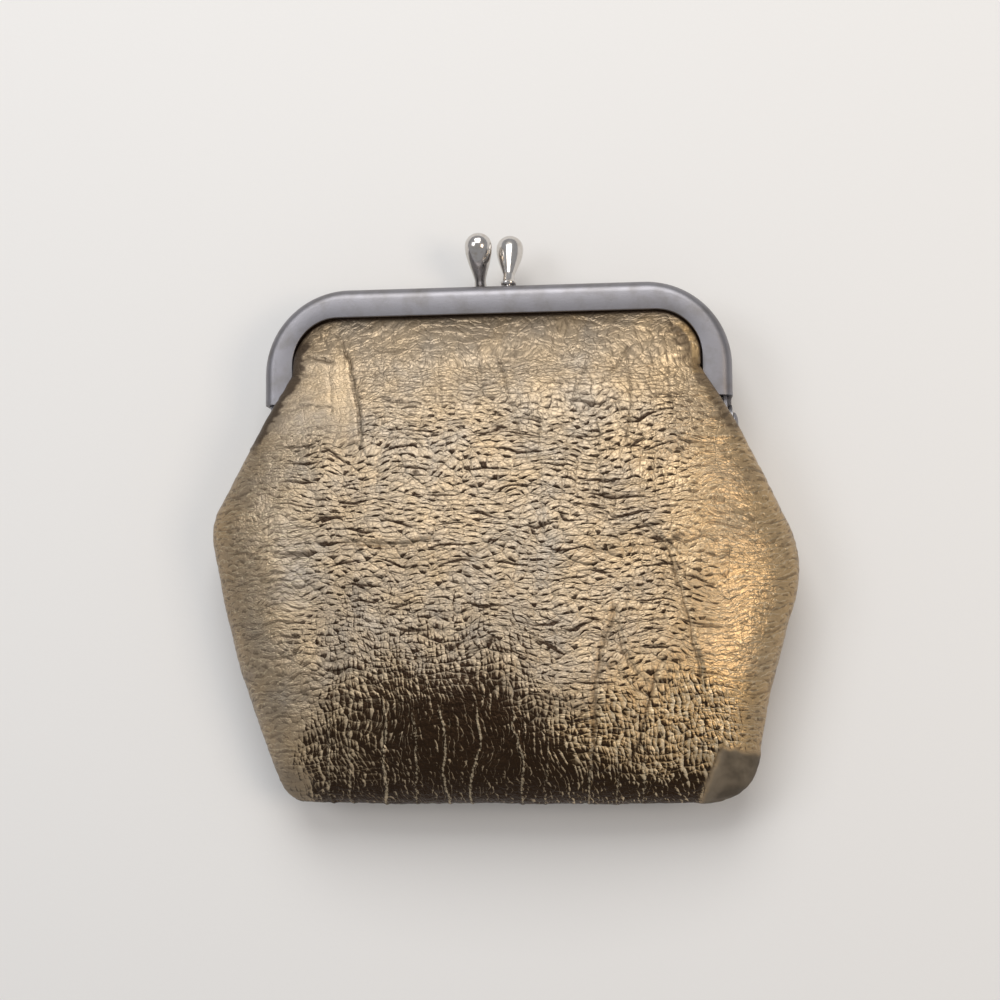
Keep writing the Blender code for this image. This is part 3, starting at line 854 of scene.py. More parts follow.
@dataclass(frozen=True)
class FrameShape:
    """Sizes of the frame halves and of their hinge, as the CAD part has them."""

    centre_x: float
    top_y: float
    part_z: float
    hinge_y: float
    width: float = 0.0820
    corner: float = 0.0150
    lip_corner: float = 0.0080
    sheet: float = 0.0007
    half_depth: float = 0.0048
    face: float = 0.0052
    flange: float = 0.0035
    edge: float = 0.0020
    part_gap: float = 0.0002
    clear: float = 0.0003
    hinge_drop: float = 0.0248
    ear: float = 0.0032
    ear_sheet: float = 0.0006
    ear_relief: float = 0.0012
    ear_inset: float = 0.0001
    arm_overlap: float = 0.0035
    rivet: float = 0.0010
    rivet_tail: float = 0.0006
    knob_tail: float = 0.00045

    @classmethod
    def from_cad(cls) -> "FrameShape":
        """Read the frame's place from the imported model.

        Returns:
            The frame's sizes, placed where the CAD part is.
        """
        low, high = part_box("front_frame")
        _, hinge_y, part_z = frame["joints"][0]["pos_m"]
        return cls((low.x + high.x) / 2, high.y, part_z, hinge_y)

    @property
    def half_width(self) -> float:
        """Half the frame's width."""
        return self.width / 2

    @property
    def lip(self) -> float:
        """Inset at which the leather comes out from under the lip."""
        return self.face + self.clear

    @property
    def grip(self) -> float:
        """Depth of the leather's outer side inside the channel."""
        return self.half_depth - self.sheet - self.clear

    @property
    def channel_end(self) -> float:
        """Drop at which the channels' legs end."""
        return self.hinge_drop - self.ear - self.ear_relief

    def corner_radius(self, inset: float) -> float:
        """Radius of the frame's corner at an inset from its edge."""
        return self.corner - (self.corner - self.lip_corner) * inset / self.face

    def reach(self, drop: Any, inset: float) -> Any:
        """Half the width of the frame's U at a drop, at an inset from its edge.

        Args:
            drop: Where to measure.
            inset: Distance in from the frame's edge.

        Returns:
            The distance from the centre line.
        """
        radius = self.corner_radius(inset)
        rise = np.maximum(inset + radius - np.asarray(drop, float), 0.0)
        return self.half_width - inset - radius + np.sqrt(np.maximum(radius**2 - rise**2, 0.0))

    def rail(self, inset: float, end: float, steps: int) -> list[Pair]:
        """The frame's U at an inset, leg end to leg end, as (x, drop).

        Args:
            inset: Distance in from the frame's edge.
            end: Drop at which the legs end.
            steps: Cells round each corner.

        Returns:
            The points.
        """
        radius = self.corner_radius(inset)
        arc_x = self.half_width - inset - radius
        half = [(self.half_width - inset, end)]
        half += arc((arc_x, inset + radius), radius, 0.0, -QUARTER, steps)
        return [(-x, drop) for x, drop in half] + half[::-1]

    def place(self, x: float, drop: float, depth: float, facing: Facing) -> Point:
        """World point of a place on the frame."""
        return (self.centre_x + x, self.top_y - drop, self.part_z + facing.value * depth)

    def by_hinge(self, side: Side, inset: float, y: float, z: float) -> Point:
        """World point at an inset from a side, by its place round the hinge line."""
        x = self.centre_x + side.value * (self.half_width - inset)
        return (x, self.hinge_y + y, self.part_z + z)

    def world(self, x: Grid, drop: Grid, depth: Grid, facing: Facing) -> Grid:
        """World points of grids of places."""
        places = [self.centre_x + x, self.top_y - drop, self.part_z + facing.value * depth]
        return np.stack(places, axis=-1)


@dataclass(frozen=True)
class SideShape:
    """How far one side of the slumped bag flares past the frame."""

    shoulder_flare: float
    shoulder_fall: float
    shoulder_round: float
    waist_flare: float
    waist_rise: float
    foot_flare: float
    foot_round: float


@dataclass
class BagShape:
    """The bag's faces: outline, puff and layers, as the CAD part has them."""

    metal: FrameShape
    drop: float = 0.0902
    leather: float = 0.0010
    lining: float = 0.0004
    half_seam: float = 0.00025
    grip_stop: float = 0.0054
    seam_below_hinge: float = 0.0057
    front_belly: float = 0.0127
    front_rise: float = 0.0400
    rear_rise: float = 0.0200
    rise_power: float = 3.4
    fall_run: float = 0.0284
    fall_power: float = 2.2
    front_power: float = 2.3
    rear_power: float = 3.2
    rest_flat: float = 0.0005
    crossing_round: float = 0.0030
    waist_round: float = 0.0090
    tucked_share: float = 0.09
    tucked_least: float = 0.0004
    tucked_even: float = 0.034
    foot_lift: float = 0.0085
    foot_fade: Pair = (0.018, 0.046)
    lining_room: float = 0.0024
    lining_hem: float = 0.0035
    bend_above: Pair = (0.0185, 0.0012)
    bend_below: Pair = (0.030, 0.0045)
    bend_power: int = 3
    corner_share: float = 0.48
    corner_points: int = 9
    row_points: int = 160
    drop_points: int = 4000
    sides: dict[Side, SideShape] = field(
        default_factory=lambda: {
            Side.LEFT: SideShape(0.0106, 0.0171, 0.0040, 0.0056, 0.0252, -0.0035, 0.0045),
            Side.RIGHT: SideShape(0.0122, 0.0240, 0.0070, 0.0049, 0.0177, 0.0022, 0.0095),
        }
    )

    def __post_init__(self) -> None:
        """Work out the outline of both sides."""
        metal = self.metal
        self.grip_inset = metal.sheet + 2 * metal.clear + metal.knob_tail
        self.grip_end = metal.channel_end - self.grip_stop
        self.step_end = self.grip_end + 3 * metal.clear
        self.ear_passed = metal.hinge_drop + metal.ear + metal.clear
        self.seam_start = metal.hinge_drop + self.seam_below_hinge
        self.fall_drop = self.drop - self.fall_run
        self.lining_layer = self.leather + metal.clear
        self.outline = {side: self._outline(shape) for side, shape in self.sides.items()}

    def _outline(self, shape: SideShape) -> Grid:
        """One side's outline as rows of (drop, reach).

        Args:
            shape: How far the side flares.

        Returns:
            The rows, from the frame's lip to the middle of the bottom.
        """
        metal = self.metal
        start = float(metal.reach(self.grip_end, metal.lip))
        corners = [
            (start, self.grip_end),
            (start, self.step_end),
            (metal.half_width, metal.hinge_drop - metal.clear),
            (metal.half_width + shape.shoulder_flare, metal.hinge_drop + shape.shoulder_fall),
            (metal.half_width + shape.waist_flare, self.drop - shape.waist_rise),
            (metal.half_width + shape.foot_flare, self.drop),
            (0.0, self.drop),
        ]
        rounds = (
            metal.clear,
            self.crossing_round,
            shape.shoulder_round,
            self.waist_round,
            shape.foot_round,
        )
        line = [corners[0]]
        for before, corner, after, reach in zip(corners, corners[1:], corners[2:], rounds):
            ends = []
            for other in (before, after):
                share = min(reach / math.dist(corner, other), self.corner_share)
                ends.append([c + (o - c) * share for c, o in zip(corner, other)])
            for t in np.linspace(0.0, 1.0, self.corner_points):
                weights = ((1 - t) ** 2, 2 * t * (1 - t), t * t)
                trio = zip(ends[0], corner, ends[1])
                line.append(tuple(sum(w * p for w, p in zip(weights, axis)) for axis in trio))
        return np.array([(d, x) for x, d in line])

    def reach(self, side: Side, drop: Any) -> Any:
        """How far the bag reaches to one side at a drop."""
        line = self.outline[side]
        return np.interp(drop, line[:, 0], line[:, 1])

    def shown_reach(self, x: Grid, drop: Grid) -> Grid:
        """How far what shows of the bag reaches, on the side that each x lies on."""
        free = np.where(x < 0, *(self.reach(side, drop) for side in Side))
        return np.where(drop <= self.grip_end, self.metal.reach(drop, self.metal.lip), free)

    def edge_depth(self, drop: Any) -> Any:
        """Depth of the leather's free edge, on its inner side, below the channel's grip.

        Args:
            drop: Where to measure.

        Returns:
            The depth.
        """
        metal = self.metal
        over_face = metal.half_depth + metal.clear
        over_ear = metal.ear + 2 * metal.clear
        stops = (
            (self.grip_end + metal.clear, metal.grip - self.leather),
            (self.step_end, over_face),
            (metal.channel_end + metal.clear, over_face),
            (metal.hinge_drop - 2 * metal.clear, over_ear),
            (self.ear_passed, over_ear),
            (self.seam_start, self.half_seam),
        )
        return np.interp(drop, *zip(*stops))

    def leather_edge(self, side: Side, drop: Any, layer: float) -> tuple[Any, Any]:
        """(reach, depth) of the leather's edge on the face that lies layer deep.

        Args:
            side: The side of the purse.
            drop: Where to measure.
            layer: How deep the face lies in the bag.

        Returns:
            The edge's distance from the centre line, and its depth.
        """
        sewn = eased(drop, self.ear_passed, self.seam_start)
        depth = self.edge_depth(drop) + (1 - sewn) * (self.leather - layer)
        return self.reach(side, drop) - sewn * layer, depth

    def lining_edge(self, side: Side, drop: Any, layer: float) -> tuple[Any, Any]:
        """(reach, depth) of the lining's edge: clear of the hinge, then beside the leather's.

        Args:
            side: The side of the purse.
            drop: Where to measure.
            layer: How deep the face lies in the bag.

        Returns:
            The edge's distance from the centre line, and its depth.
        """
        metal = self.metal
        rivet_end = metal.ear_inset + 2 * (metal.ear_sheet + metal.clear) + metal.rivet_tail
        held_reach = metal.half_width - rivet_end - metal.clear - self.lining_room
        free = self.reach(side, drop) - layer
        spread = eased(drop, metal.hinge_drop + metal.ear, self.seam_start + self.lining_hem)
        held = np.minimum(free, held_reach - (layer - self.lining_layer))
        sewn = eased(drop, metal.hinge_drop, self.seam_start)
        grip = metal.grip - layer
        return held + (free - held) * spread, grip + (self.half_seam - grip) * sewn

    def centre_depth(self, drop: Any, layer: float, facing: Facing) -> Any:
        """Depth of the face on the centre line.

        Args:
            drop: Where to measure.
            layer: How deep the face lies in the bag.
            facing: The panel's side.

        Returns:
            The depth.
        """
        metal = self.metal
        front = facing is Facing.FRONT
        peak = self.front_belly if front else metal.part_z + self.rest_flat
        grip = metal.grip - layer
        rise = self.front_rise if front else self.rear_rise
        away = 1 - np.clip((drop - metal.lip) / rise, 0, 1)
        top = grip + (peak - metal.grip) * (1 - away**self.rise_power)
        end = self.drop - layer
        share = np.clip((drop - self.fall_drop) / (end - self.fall_drop), 0.0, 1.0)
        fall = (1 - share**self.fall_power) ** (1 / self.fall_power)
        return self.half_seam + (top - self.half_seam) * fall

    def _foot_depth(self, drop: float, layer: float) -> float:
        """Depth at which a leather face leaves the wall at its edge: it fades down the sides.

        Args:
            drop: Where to measure.
            layer: How deep the face lies in the bag.

        Returns:
            The depth, or 0 for the lining, which has no such foot.
        """
        if layer > self.leather:
            return 0.0
        metal = self.metal
        gripped = metal.grip - layer
        over_face = metal.half_depth + metal.clear + self.leather - layer
        if drop < self.step_end:
            share = float(eased(drop, self.foot_lift, self.step_end))
            return gripped + (over_face - gripped) * share
        return over_face + (self.half_seam - over_face) * float(eased(drop, *self.foot_fade))

    def row(
        self, drop: float, layer: float, facing: Facing, edge: Callable[..., Any], columns: int
    ) -> Grid:
        """One row across a face, edge to edge.

        Args:
            drop: Where the row lies.
            layer: How deep the face lies in the bag.
            facing: The panel's side.
            edge: Gives the reach and depth of the panel's edge.
            columns: Cells across, an even number.

        Returns:
            Rows of (x, depth, distance along the face from the centre line).
        """
        metal = self.metal
        power = self.front_power if facing is Facing.FRONT else self.rear_power
        halves = []
        for side in Side:
            if drop <= self.grip_end:
                reach, edge_at = float(metal.reach(drop, self.grip_inset)), metal.grip - layer
                wall = min(float(metal.reach(drop, metal.lip)) - layer, reach - 2 * metal.clear)
                tucked = reach - wall
            else:
                reach, edge_at = (float(v) for v in edge(side, drop, layer))
                wall, tucked = reach, None
            low = max(edge_at, self._foot_depth(drop, layer))
            top = max(float(self.centre_depth(drop, layer, facing)), low)
            turn = np.linspace(0.0, QUARTER, self.row_points)
            x = np.concatenate([(reach, wall), wall * np.cos(turn) ** (2 / power)])
            rise = low + (top - low) * np.sin(turn) ** (2 / power)
            depth = np.concatenate([(edge_at, edge_at), rise])
            x[-1] = 0.0
            along = np.append(0.0, np.cumsum(np.hypot(np.diff(x), np.diff(depth))))
            if tucked is None:
                even = self.tucked_share * along[-1]
                spread = float(eased(drop, self.grip_end, self.tucked_even))
                tucked = self.tucked_least + (even - self.tucked_least) * spread
            share = np.linspace(0.0, 1.0, columns // 2 + 1)
            wanted = np.interp(share, (0.0, self.tucked_share, 1.0), (0.0, tucked, along[-1]))
            at, deep = (np.interp(wanted, along, line) for line in (x, depth))
            half = np.stack([side.value * at, deep, side.value * (along[-1] - wanted)], axis=-1)
            halves.append(half if side is Side.LEFT else half[-2::-1])
        return np.concatenate(halves)

    def drops(self, facing: Facing, rows: int) -> tuple[Grid, Grid]:
        """Rows evenly spaced along the face: their drops, and their distance down the face.

        Args:
            facing: The panel's side.
            rows: Cells from top to bottom.

        Returns:
            The drops, and the distances.
        """
        turn = np.linspace(0.0, QUARTER, self.drop_points)
        fine = self.grip_inset + (self.drop - self.grip_inset) * np.sin(turn)
        depth = self.centre_depth(fine, 0.0, facing)
        along = np.append(0.0, np.cumsum(np.hypot(np.diff(fine), np.diff(depth))))
        wanted = np.linspace(0.0, along[-1], rows + 1)
        return np.interp(wanted, along, fine), wanted

    def grid(
        self, drops: Grid, layer: float, facing: Facing, edge: Callable[..., Any], columns: int
    ) -> tuple[Grid, ...]:
        """Grids of x, depth, distance across and drop for a face."""
        rows = np.array([self.row(d, layer, facing, edge, columns) for d in drops])
        return (*np.moveaxis(rows, -1, 0), np.repeat(drops[:, None], columns + 1, axis=1))

    def follow(self, x: Grid, drop: Grid) -> Grid:
        """How far each point follows the front frame half: 1 wholly, 0 not at all.

        Args:
            x: Places across.
            drop: Their drops.

        Returns:
            A share from 0 to 1 for each point.
        """
        hinge_drop = self.metal.hinge_drop
        outward = np.clip(np.abs(x) / self.shown_reach(x, drop), 0.0, 1.0) ** self.bend_power
        above, below = (
            middle * (1 - outward) + edge * outward
            for middle, edge in (self.bend_above, self.bend_below)
        )
        return faded(drop, hinge_drop - above, hinge_drop + below)


# The leather's crinkles


@dataclass(frozen=True)
class Fold:
    """A long crease through points of (x, drop) in millimetres; a ridge if its depth is below 0."""

    points: tuple[Pair, ...]
    depth_mm: float
    width_mm: float = 0.32

    def apply(self, x_mm: Grid, drop_mm: Grid) -> tuple[Grid, Grid]:
        """The fold's height over the panel in millimetres, and how near it is: 1 on it.

        Args:
            x_mm: Places across.
            drop_mm: Their drops.

        Returns:
            The heights and the nearness, on the places' grid.
        """
        nearest = np.full(x_mm.shape, 99.0)
        run = np.zeros(x_mm.shape)
        lengths = [math.dist(a, b) for a, b in zip(self.points, self.points[1:])]
        passed, total = 0.0, sum(lengths)
        for (ax, ay), (bx, by), length in zip(self.points, self.points[1:], lengths):
            t = ((x_mm - ax) * (bx - ax) + (drop_mm - ay) * (by - ay)) / length**2
            t = np.clip(t, 0.0, 1.0)
            away = np.hypot(x_mm - ax - t * (bx - ax), drop_mm - ay - t * (by - ay))
            closer = away < nearest
            nearest = np.where(closer, away, nearest)
            run = np.where(closer, (passed + t * length) / total, run)
            passed += length
        taper = eased(run, 0.0, 0.2) * faded(run, 0.75, 1.0)
        shoulder = 0.35 * np.exp(-(((nearest - 2.4 * self.width_mm) / self.width_mm) ** 2))
        height = self.depth_mm * taper * (shoulder - np.exp(-((nearest / self.width_mm) ** 2)))
        clear = min(0.58 + 2.1 * abs(self.depth_mm), 1.0)
        return height, np.clip(1 - nearest / 0.8, 0.0, 1.0) * (0.45 + 0.55 * taper) * clear


CREASES = (
    Fold(((-28.9, 5.8), (-24.8, 14.1), (-22.8, 23.3), (-22.3, 33.0)), 0.17),
    Fold(((-28.7, 11.9), (-27.8, 25.8)), 0.04),
    Fold(((-34.5, 11.6), (-31.9, 12.6), (-27.0, 13.8)), 0.20),
    Fold(((-35.8, 21.6), (-31.0, 21.4), (-26.5, 22.6)), 0.08),
    Fold(((25.2, 9.8), (18.3, 19.1)), 0.12),
    Fold(((16.6, 12.6), (14.1, 20.8), (12.4, 25.2)), 0.09),
    Fold(((23.1, 12.7), (23.4, 21.8), (22.3, 33.8)), 0.11),
    Fold(((26.9, 11.7), (27.6, 18.1)), 0.09),
    Fold(((30.1, 6.6), (30.0, 25.2)), 0.09),
    Fold(((-0.7, 8.3), (3.0, 21.0), (8.1, 38.7)), 0.09),
    Fold(((8.2, 21.6), (8.0, 48.8)), 0.08),
    Fold(((-2.5, 8.3), (-1.6, 24.9)), 0.06),
    Fold(((-9.4, 10.0), (-8.1, 26.5)), 0.06),
    Fold(((18.3, 21.7), (18.7, 42.2)), 0.08),
    Fold(((-27.8, 44.8), (-17.4, 46.1), (-7.1, 44.9)), 0.28, 0.42),
    Fold(((25.5, 44.0), (29.3, 47.3), (31.1, 54.0), (33.4, 64.0), (35.8, 74.3)), 0.22, 0.36),
    Fold(((20.6, 52.0), (19.8, 59.7), (17.7, 63.8), (17.2, 75.4), (14.2, 94.0)), 0.30, 0.45),
    Fold(((19.8, 57.0), (21.8, 65.5), (25.3, 69.5)), 0.20, 0.40),
    Fold(((28.0, 63.2), (25.8, 72.1), (23.2, 80.5), (19.5, 86.1)), 0.28, 0.42),
    Fold(((24.7, 41.4), (31.2, 49.0)), 0.13),
    Fold(((-46.9, 52.9), (-33.2, 51.2)), 0.07),
    Fold(((38.2, 79.4), (37.0, 80.8), (34.0, 88.4)), 0.30, 0.40),
)
THREADS = (
    Fold(((-28.0, 69.0), (-28.9, 78.0), (-29.8, 98.0)), -0.12, 0.30),
    Fold(((-24.5, 69.5), (-26.7, 98.0)), -0.12, 0.30),
    Fold(((-18.4, 67.0), (-18.2, 76.0), (-19.2, 84.0), (-21.2, 98.0)), -0.18, 0.36),
    Fold(((-13.6, 69.0), (-13.2, 79.5), (-15.9, 98.0)), -0.11, 0.30),
    Fold(((-9.0, 69.5), (-8.6, 78.0), (-9.3, 84.5), (-7.4, 98.0)), -0.16),
    Fold(((-3.1, 69.3), (-2.9, 80.0), (-4.9, 86.0), (-5.1, 98.0)), -0.16, 0.30),
    Fold(((3.9, 69.3), (2.9, 76.5), (4.6, 83.0), (2.6, 98.0)), -0.14),
    Fold(((8.5, 72.0), (8.8, 80.0), (7.2, 98.0)), -0.10, 0.30),
    Fold(((15.9, 72.0), (16.2, 80.0), (14.4, 98.0)), -0.14, 0.30),
    Fold(((20.1, 71.1), (20.6, 80.0), (19.0, 98.0)), -0.10, 0.30),
    Fold(((24.2, 71.1), (24.9, 80.0), (23.0, 98.0)), -0.09, 0.30),
)

# Where the smooth patch ends and where the bottom zone, with its painted shade, begins, as (x, drop) in
# millimetres
PATCH_EDGE = CREASES[0].points
SHORE = ((-38, 90), (-32, 80), (-27, 73), (-20, 70), (0, 70), (8, 74), (17, 80), (36, 87))


def sampled(place: Grid, field_of: Callable[[Graph, Signal], tuple[Signal, ...]]) -> list[Grid]:
    """Work out a shader's own expressions at the points of a grid.

    Args:
        place: Points of (across, down, 0) in millimetres, rows by columns.
        field_of: Adds the expressions' nodes to a graph, from the place.

    Returns:
        A grid of numbers for each expression.
    """
    data = bpy.data.meshes.new("places")
    data.from_pydata(place.reshape(-1, 3).tolist(), [], [])
    carrier = linked("places", data)
    g = PathGraph("places_tree", {}, None)
    here = g.node("GeometryNodeInputPosition", {}, {})
    shape = g.start
    names = []
    for signal in field_of(g, here):
        names.append(f"value_{len(names)}")
        sockets = {"Geometry": shape, "Name": names[-1], "Value": signal}
        shape = g.node("GeometryNodeStoreNamedAttribute", {"data_type": "FLOAT"}, sockets)
    g.node("NodeGroupOutput", {}, {0: shape})
    step = carrier.modifiers.new("values", "NODES")
    step.node_group = g.tree
    made = evaluated(carrier)
    bpy.data.objects.remove(carrier, do_unlink=True)
    grids = []
    for name in names:
        values = np.empty(len(made.vertices), dtype=np.float32)
        made.attributes[name].data.foreach_get("value", values)
        grids.append(values.reshape(place.shape[:2]).astype(float))
    bpy.data.meshes.remove(made)
    return grids


@dataclass
class Crinkles:
    """Heights and zones of a panel's crushed foil, worked out on its grid.

    The photo shows the front alone, so the rear carries none of its drawn folds.
    Past the given grids, every length here is in millimetres.
    """

    shape: BagShape
    finish: FoilLeather
    facing: Facing
    x: Grid
    drop: Grid
    across: Grid
    down: Grid

    def __post_init__(self) -> None:
        """Bend the place, so that no row of cells runs straight, and find the panel's zones."""
        self.x_mm, self.d_mm = self.x / MM, self.drop / MM
        s, t = self.across / MM, self.down / MM
        s_bent = s + 1.0 * ripple(s / 10, t / 8, 11, 2) + 0.24 * ripple(s / 2.4, t / 2.0, 13)
        t_bent = t + 1.1 * ripple(s / 9, t / 9, 23, 2) + 0.22 * ripple(s / 2.2, t / 2.2, 29)
        t_bent = np.where(t < 15.0, 15.0 - 0.55 * (15.0 - t), t) + t_bent - t
        self.place = np.stack([s_bent, t_bent, np.zeros_like(s)], axis=-1)
        self.zone = self._zones()
        self.inward, self.along_lip = self._lip_place()
        self.inset = (self.shape.shown_reach(self.x, self.drop) - np.abs(self.x)) / MM
        self.drawn = self._drawn()
        self.folds = (CREASES, THREADS) if self.facing is Facing.FRONT else ((), ())

    def _zones(self) -> dict[str, Grid]:
        """The panel's differently crushed zones.

        Returns:
            The strength of each zone, from 0 to 1.
        """
        x, d = self.x_mm, self.d_mm
        wander = 4.0 * ripple(x / 11, d / 11, 301, 3)
        waver = 3.4 * ripple(x / 8, d / 13, 311, 3)
        centre = eased(x + wander, -40, -26) * faded(x + wander, 26, 40)
        crushed = centre * eased(d + waver, 14, 30) * faded(d + waver, 62, 80)
        edge_x = np.interp(d, *zip(*((drop, across) for across, drop in PATCH_EDGE)))
        patch = faded(x - edge_x, -1.2, 0.4)
        patch = patch * eased(d + 0.3 * waver, 11.4, 15.4) * faded(d + 0.5 * waver, 23.0, 32.0)
        bottom = eased(d + 0.45 * waver - np.interp(x + 0.5 * wander, *zip(*SHORE)), -10, 8)
        golden = eased(x + wander, 6, 18) * eased(d + waver, 62, 74) * faded(x, 38, 45)
        sides = (1 - centre) * (1 - patch)
        plump = 0.75 + 0.25 * crushed - 0.68 * patch - 0.50 * sides
        frayed = 0.4 * ripple(x / 1.6, d / 1.6, 317, 2)
        corner = eased(x + (d - 80) * 0.4 + frayed, 36.9, 38.6)
        corner = corner * eased(d - 0.2 * (x - 38) + frayed, 79.2, 81.0)
        if self.facing is Facing.REAR:
            patch, corner, sides = patch * 0, corner * 0, 1 - centre
            plump = 0.75 + 0.25 * crushed - 0.50 * sides
        return {
            "crushed": crushed * (1 - patch),
            "patch": patch,
            "bottom": bottom,
            "golden": golden,
            "sides": sides,
            "plump": plump * (1 - corner),
            "corner": corner,
        }

    def heights(self) -> Grid:
        """The panel's relief.

        Returns:
            Height of each point in millimetres.
        """
        s, t = self.across / MM, self.down / MM
        zone = self.zone
        plate, pucker = sampled(self.place, self.finish.relief)
        slack = 0.30 * ripple(s / 15, t / 11, 71, 2) + 0.12 * ripple(s / 6.0, t / 4.0, 83, 2)
        streaks = 0.05 * ripple(s / 2.8, t / 0.9, 97, 2)
        height = slack * (0.55 + 0.45 * zone["crushed"]) + streaks * (zone["sides"] + zone["patch"])
        low = eased(self.d_mm, 12.0, 24.0)
        plate *= (1.25 - 0.25 * low) * (1 - 0.55 * zone["bottom"])
        height += (0.165 * plate + 0.13 * pucker * low) * zone["plump"]
        height += 0.05 * ripple(s / 0.9, t / 3.6, 103, 2) * zone["bottom"]
        height += 0.03 * ripple(s / 1.3, t / 1.1, 89, 2) * (1 - low) * (1 - zone["patch"])
        for fold in (*self.folds[0], *self.folds[1]):
            height += fold.apply(*self.drawn)[0]
        height += self._gathers() + 0.30 * zone["corner"]
        return height * self._border_fade()

    def _drawn(self) -> tuple[Grid, Grid]:
        """The place at which drawn creases are looked up, a little unsteady.

        Returns:
            Places across and down in millimetres.
        """
        x, d = self.x_mm, self.d_mm
        unsteady = 0.26 * ripple(x / 1.7, d / 1.7, 109, 2) + 0.5 * ripple(x / 8, d / 8, 107)
        return x + unsteady, d + 0.16 * ripple(x / 1.7, d / 1.7, 113, 2)

    def _lip_place(self) -> tuple[Grid, Grid]:
        """Where each point lies from the frame's lip.

        Returns:
            How far it lies inside the lip, and its place along it, in millimetres.
        """
        metal, d = self.shape.metal, self.d_mm
        lip, radius = metal.lip / MM, metal.corner_radius(metal.lip) / MM
        arc_x, arc_d = metal.half_width / MM - lip - radius, lip + radius
        out = np.abs(self.x_mm) - arc_x
        corner = (out > 0) & (d < arc_d)
        turn = np.arctan2(arc_d - d, np.maximum(out, 1e-6))
        leg = np.where(d < 17.0, arc_x + radius - np.abs(self.x_mm), 99.0)
        inward = np.where(corner, radius - np.hypot(out, arc_d - d), np.minimum(d - lip, leg))
        beyond = np.where(d >= arc_d, arc_d - d, radius * QUARTER - out)
        return inward, np.where(corner, turn * radius, beyond)

    def _gathers(self) -> Grid:
        """Small pleats where the leather leaves the frame and along its side seams.

        Returns:
            Their height in millimetres.
        """
        x, d = self.x_mm, self.d_mm
        run = self.along_lip + 0.6 * ripple(x / 2.6, d / 2.6, 131, 2)
        pleat = np.abs(np.sin(math.pi * run / 2.5)) - 0.5
        uneven = lattice(np.floor(run / 2.5), np.sign(x), 139)
        corner = np.exp(-(((run - 5.0) / 7.0) ** 2))
        near = np.exp(-(((self.inward - 2.2) / 1.6) ** 2))
        height = pleat * near * corner * (0.12 + 0.45 * uneven)
        scallop = np.abs(np.sin(math.pi * d / 1.9 + 1.6 * ripple(d / 3, x / 5, 137))) - 0.5
        below = (d > 16.0) * (1 - 0.65 * eased(d, 26, 34)) * (0.4 + 0.6 * ripple(x / 4, d / 3, 141))
        return height + scallop * np.exp(-(((self.inset - 1.8) / 1.6) ** 2)) * 0.26 * below

    def _border_fade(self) -> Grid:
        """How much of the relief each point keeps.

        Returns:
            0 inside the channel and at the sewn edge, 1 a little way in from them.
        """
        x, d, metal = self.x_mm, self.d_mm, self.shape.metal
        rows, columns = x.shape
        column = np.minimum(np.arange(columns), np.arange(columns)[::-1])
        fade = eased(column, 0, 4)[None, :] * eased(np.arange(rows)[::-1], 0, 4)[:, None]
        free = eased(d, metal.lip / MM, metal.lip / MM + 0.8)
        wall = metal.reach(self.drop, metal.lip) / MM
        emerged = faded(np.abs(x), wall - 0.9, wall - 0.1)
        return fade * free * np.where(d <= self.shape.grip_end / MM, emerged, 1.0)

    def _warm(self) -> Grid:
        """How golden the foil is.

        Returns:
            A share from 0 to 1.
        """
        x, d, zone = self.x_mm, self.d_mm, self.zone
        warm = 0.15 + 0.50 * eased(x, 14, 46) + 0.45 * faded(x, -50, -41)
        warm += 0.55 * zone["golden"] + 0.25 * zone["bottom"]
        warm += 0.8 * faded(self.inward, 0.8, 1.8) * eased(x, 28, 31) * eased(d, 7, 9)
        return np.clip(warm + 0.12 * ripple(x / 8, d / 6, 157, 2), 0.0, 1.0)

    def _dark(self, wander: Grid) -> Grid:
        """How much painted shade the foil carries, darker towards the bottom, in the golden zone, in the
        lower middle and on the left side.

        Args:
            wander: How far the borders stray, in millimetres.

        Returns:
            A share from 0 to 1.
        """
        x, d, zone = self.x_mm, self.d_mm, self.zone
        deep = 0.74 + 0.21 * eased(x + 2 * wander, -24, -12) * faded(x + 2 * wander, 8, 18)
        # Painted shade where the foil turns away from the light: the bottom, the golden zone, the foot, the
        # lower middle and the left side
        dark = deep * zone["bottom"] + 0.45 * zone["golden"] * (1 - zone["bottom"])
        foot = 0.94 * eased(d + 1.8 * wander, 78.5, 87.5) * eased(x + 2 * wander, -37, -27)
        dark = np.maximum(dark, foot * faded(x, 36, 38))
        dark += 0.40 * eased(d + 3 * wander, 42, 64) * zone["crushed"] * faded(x, 0, 24)
        dark += 0.14 * faded(x + 2 * wander, -46, -32)
        return dark * (1 - 0.5 * zone["patch"])

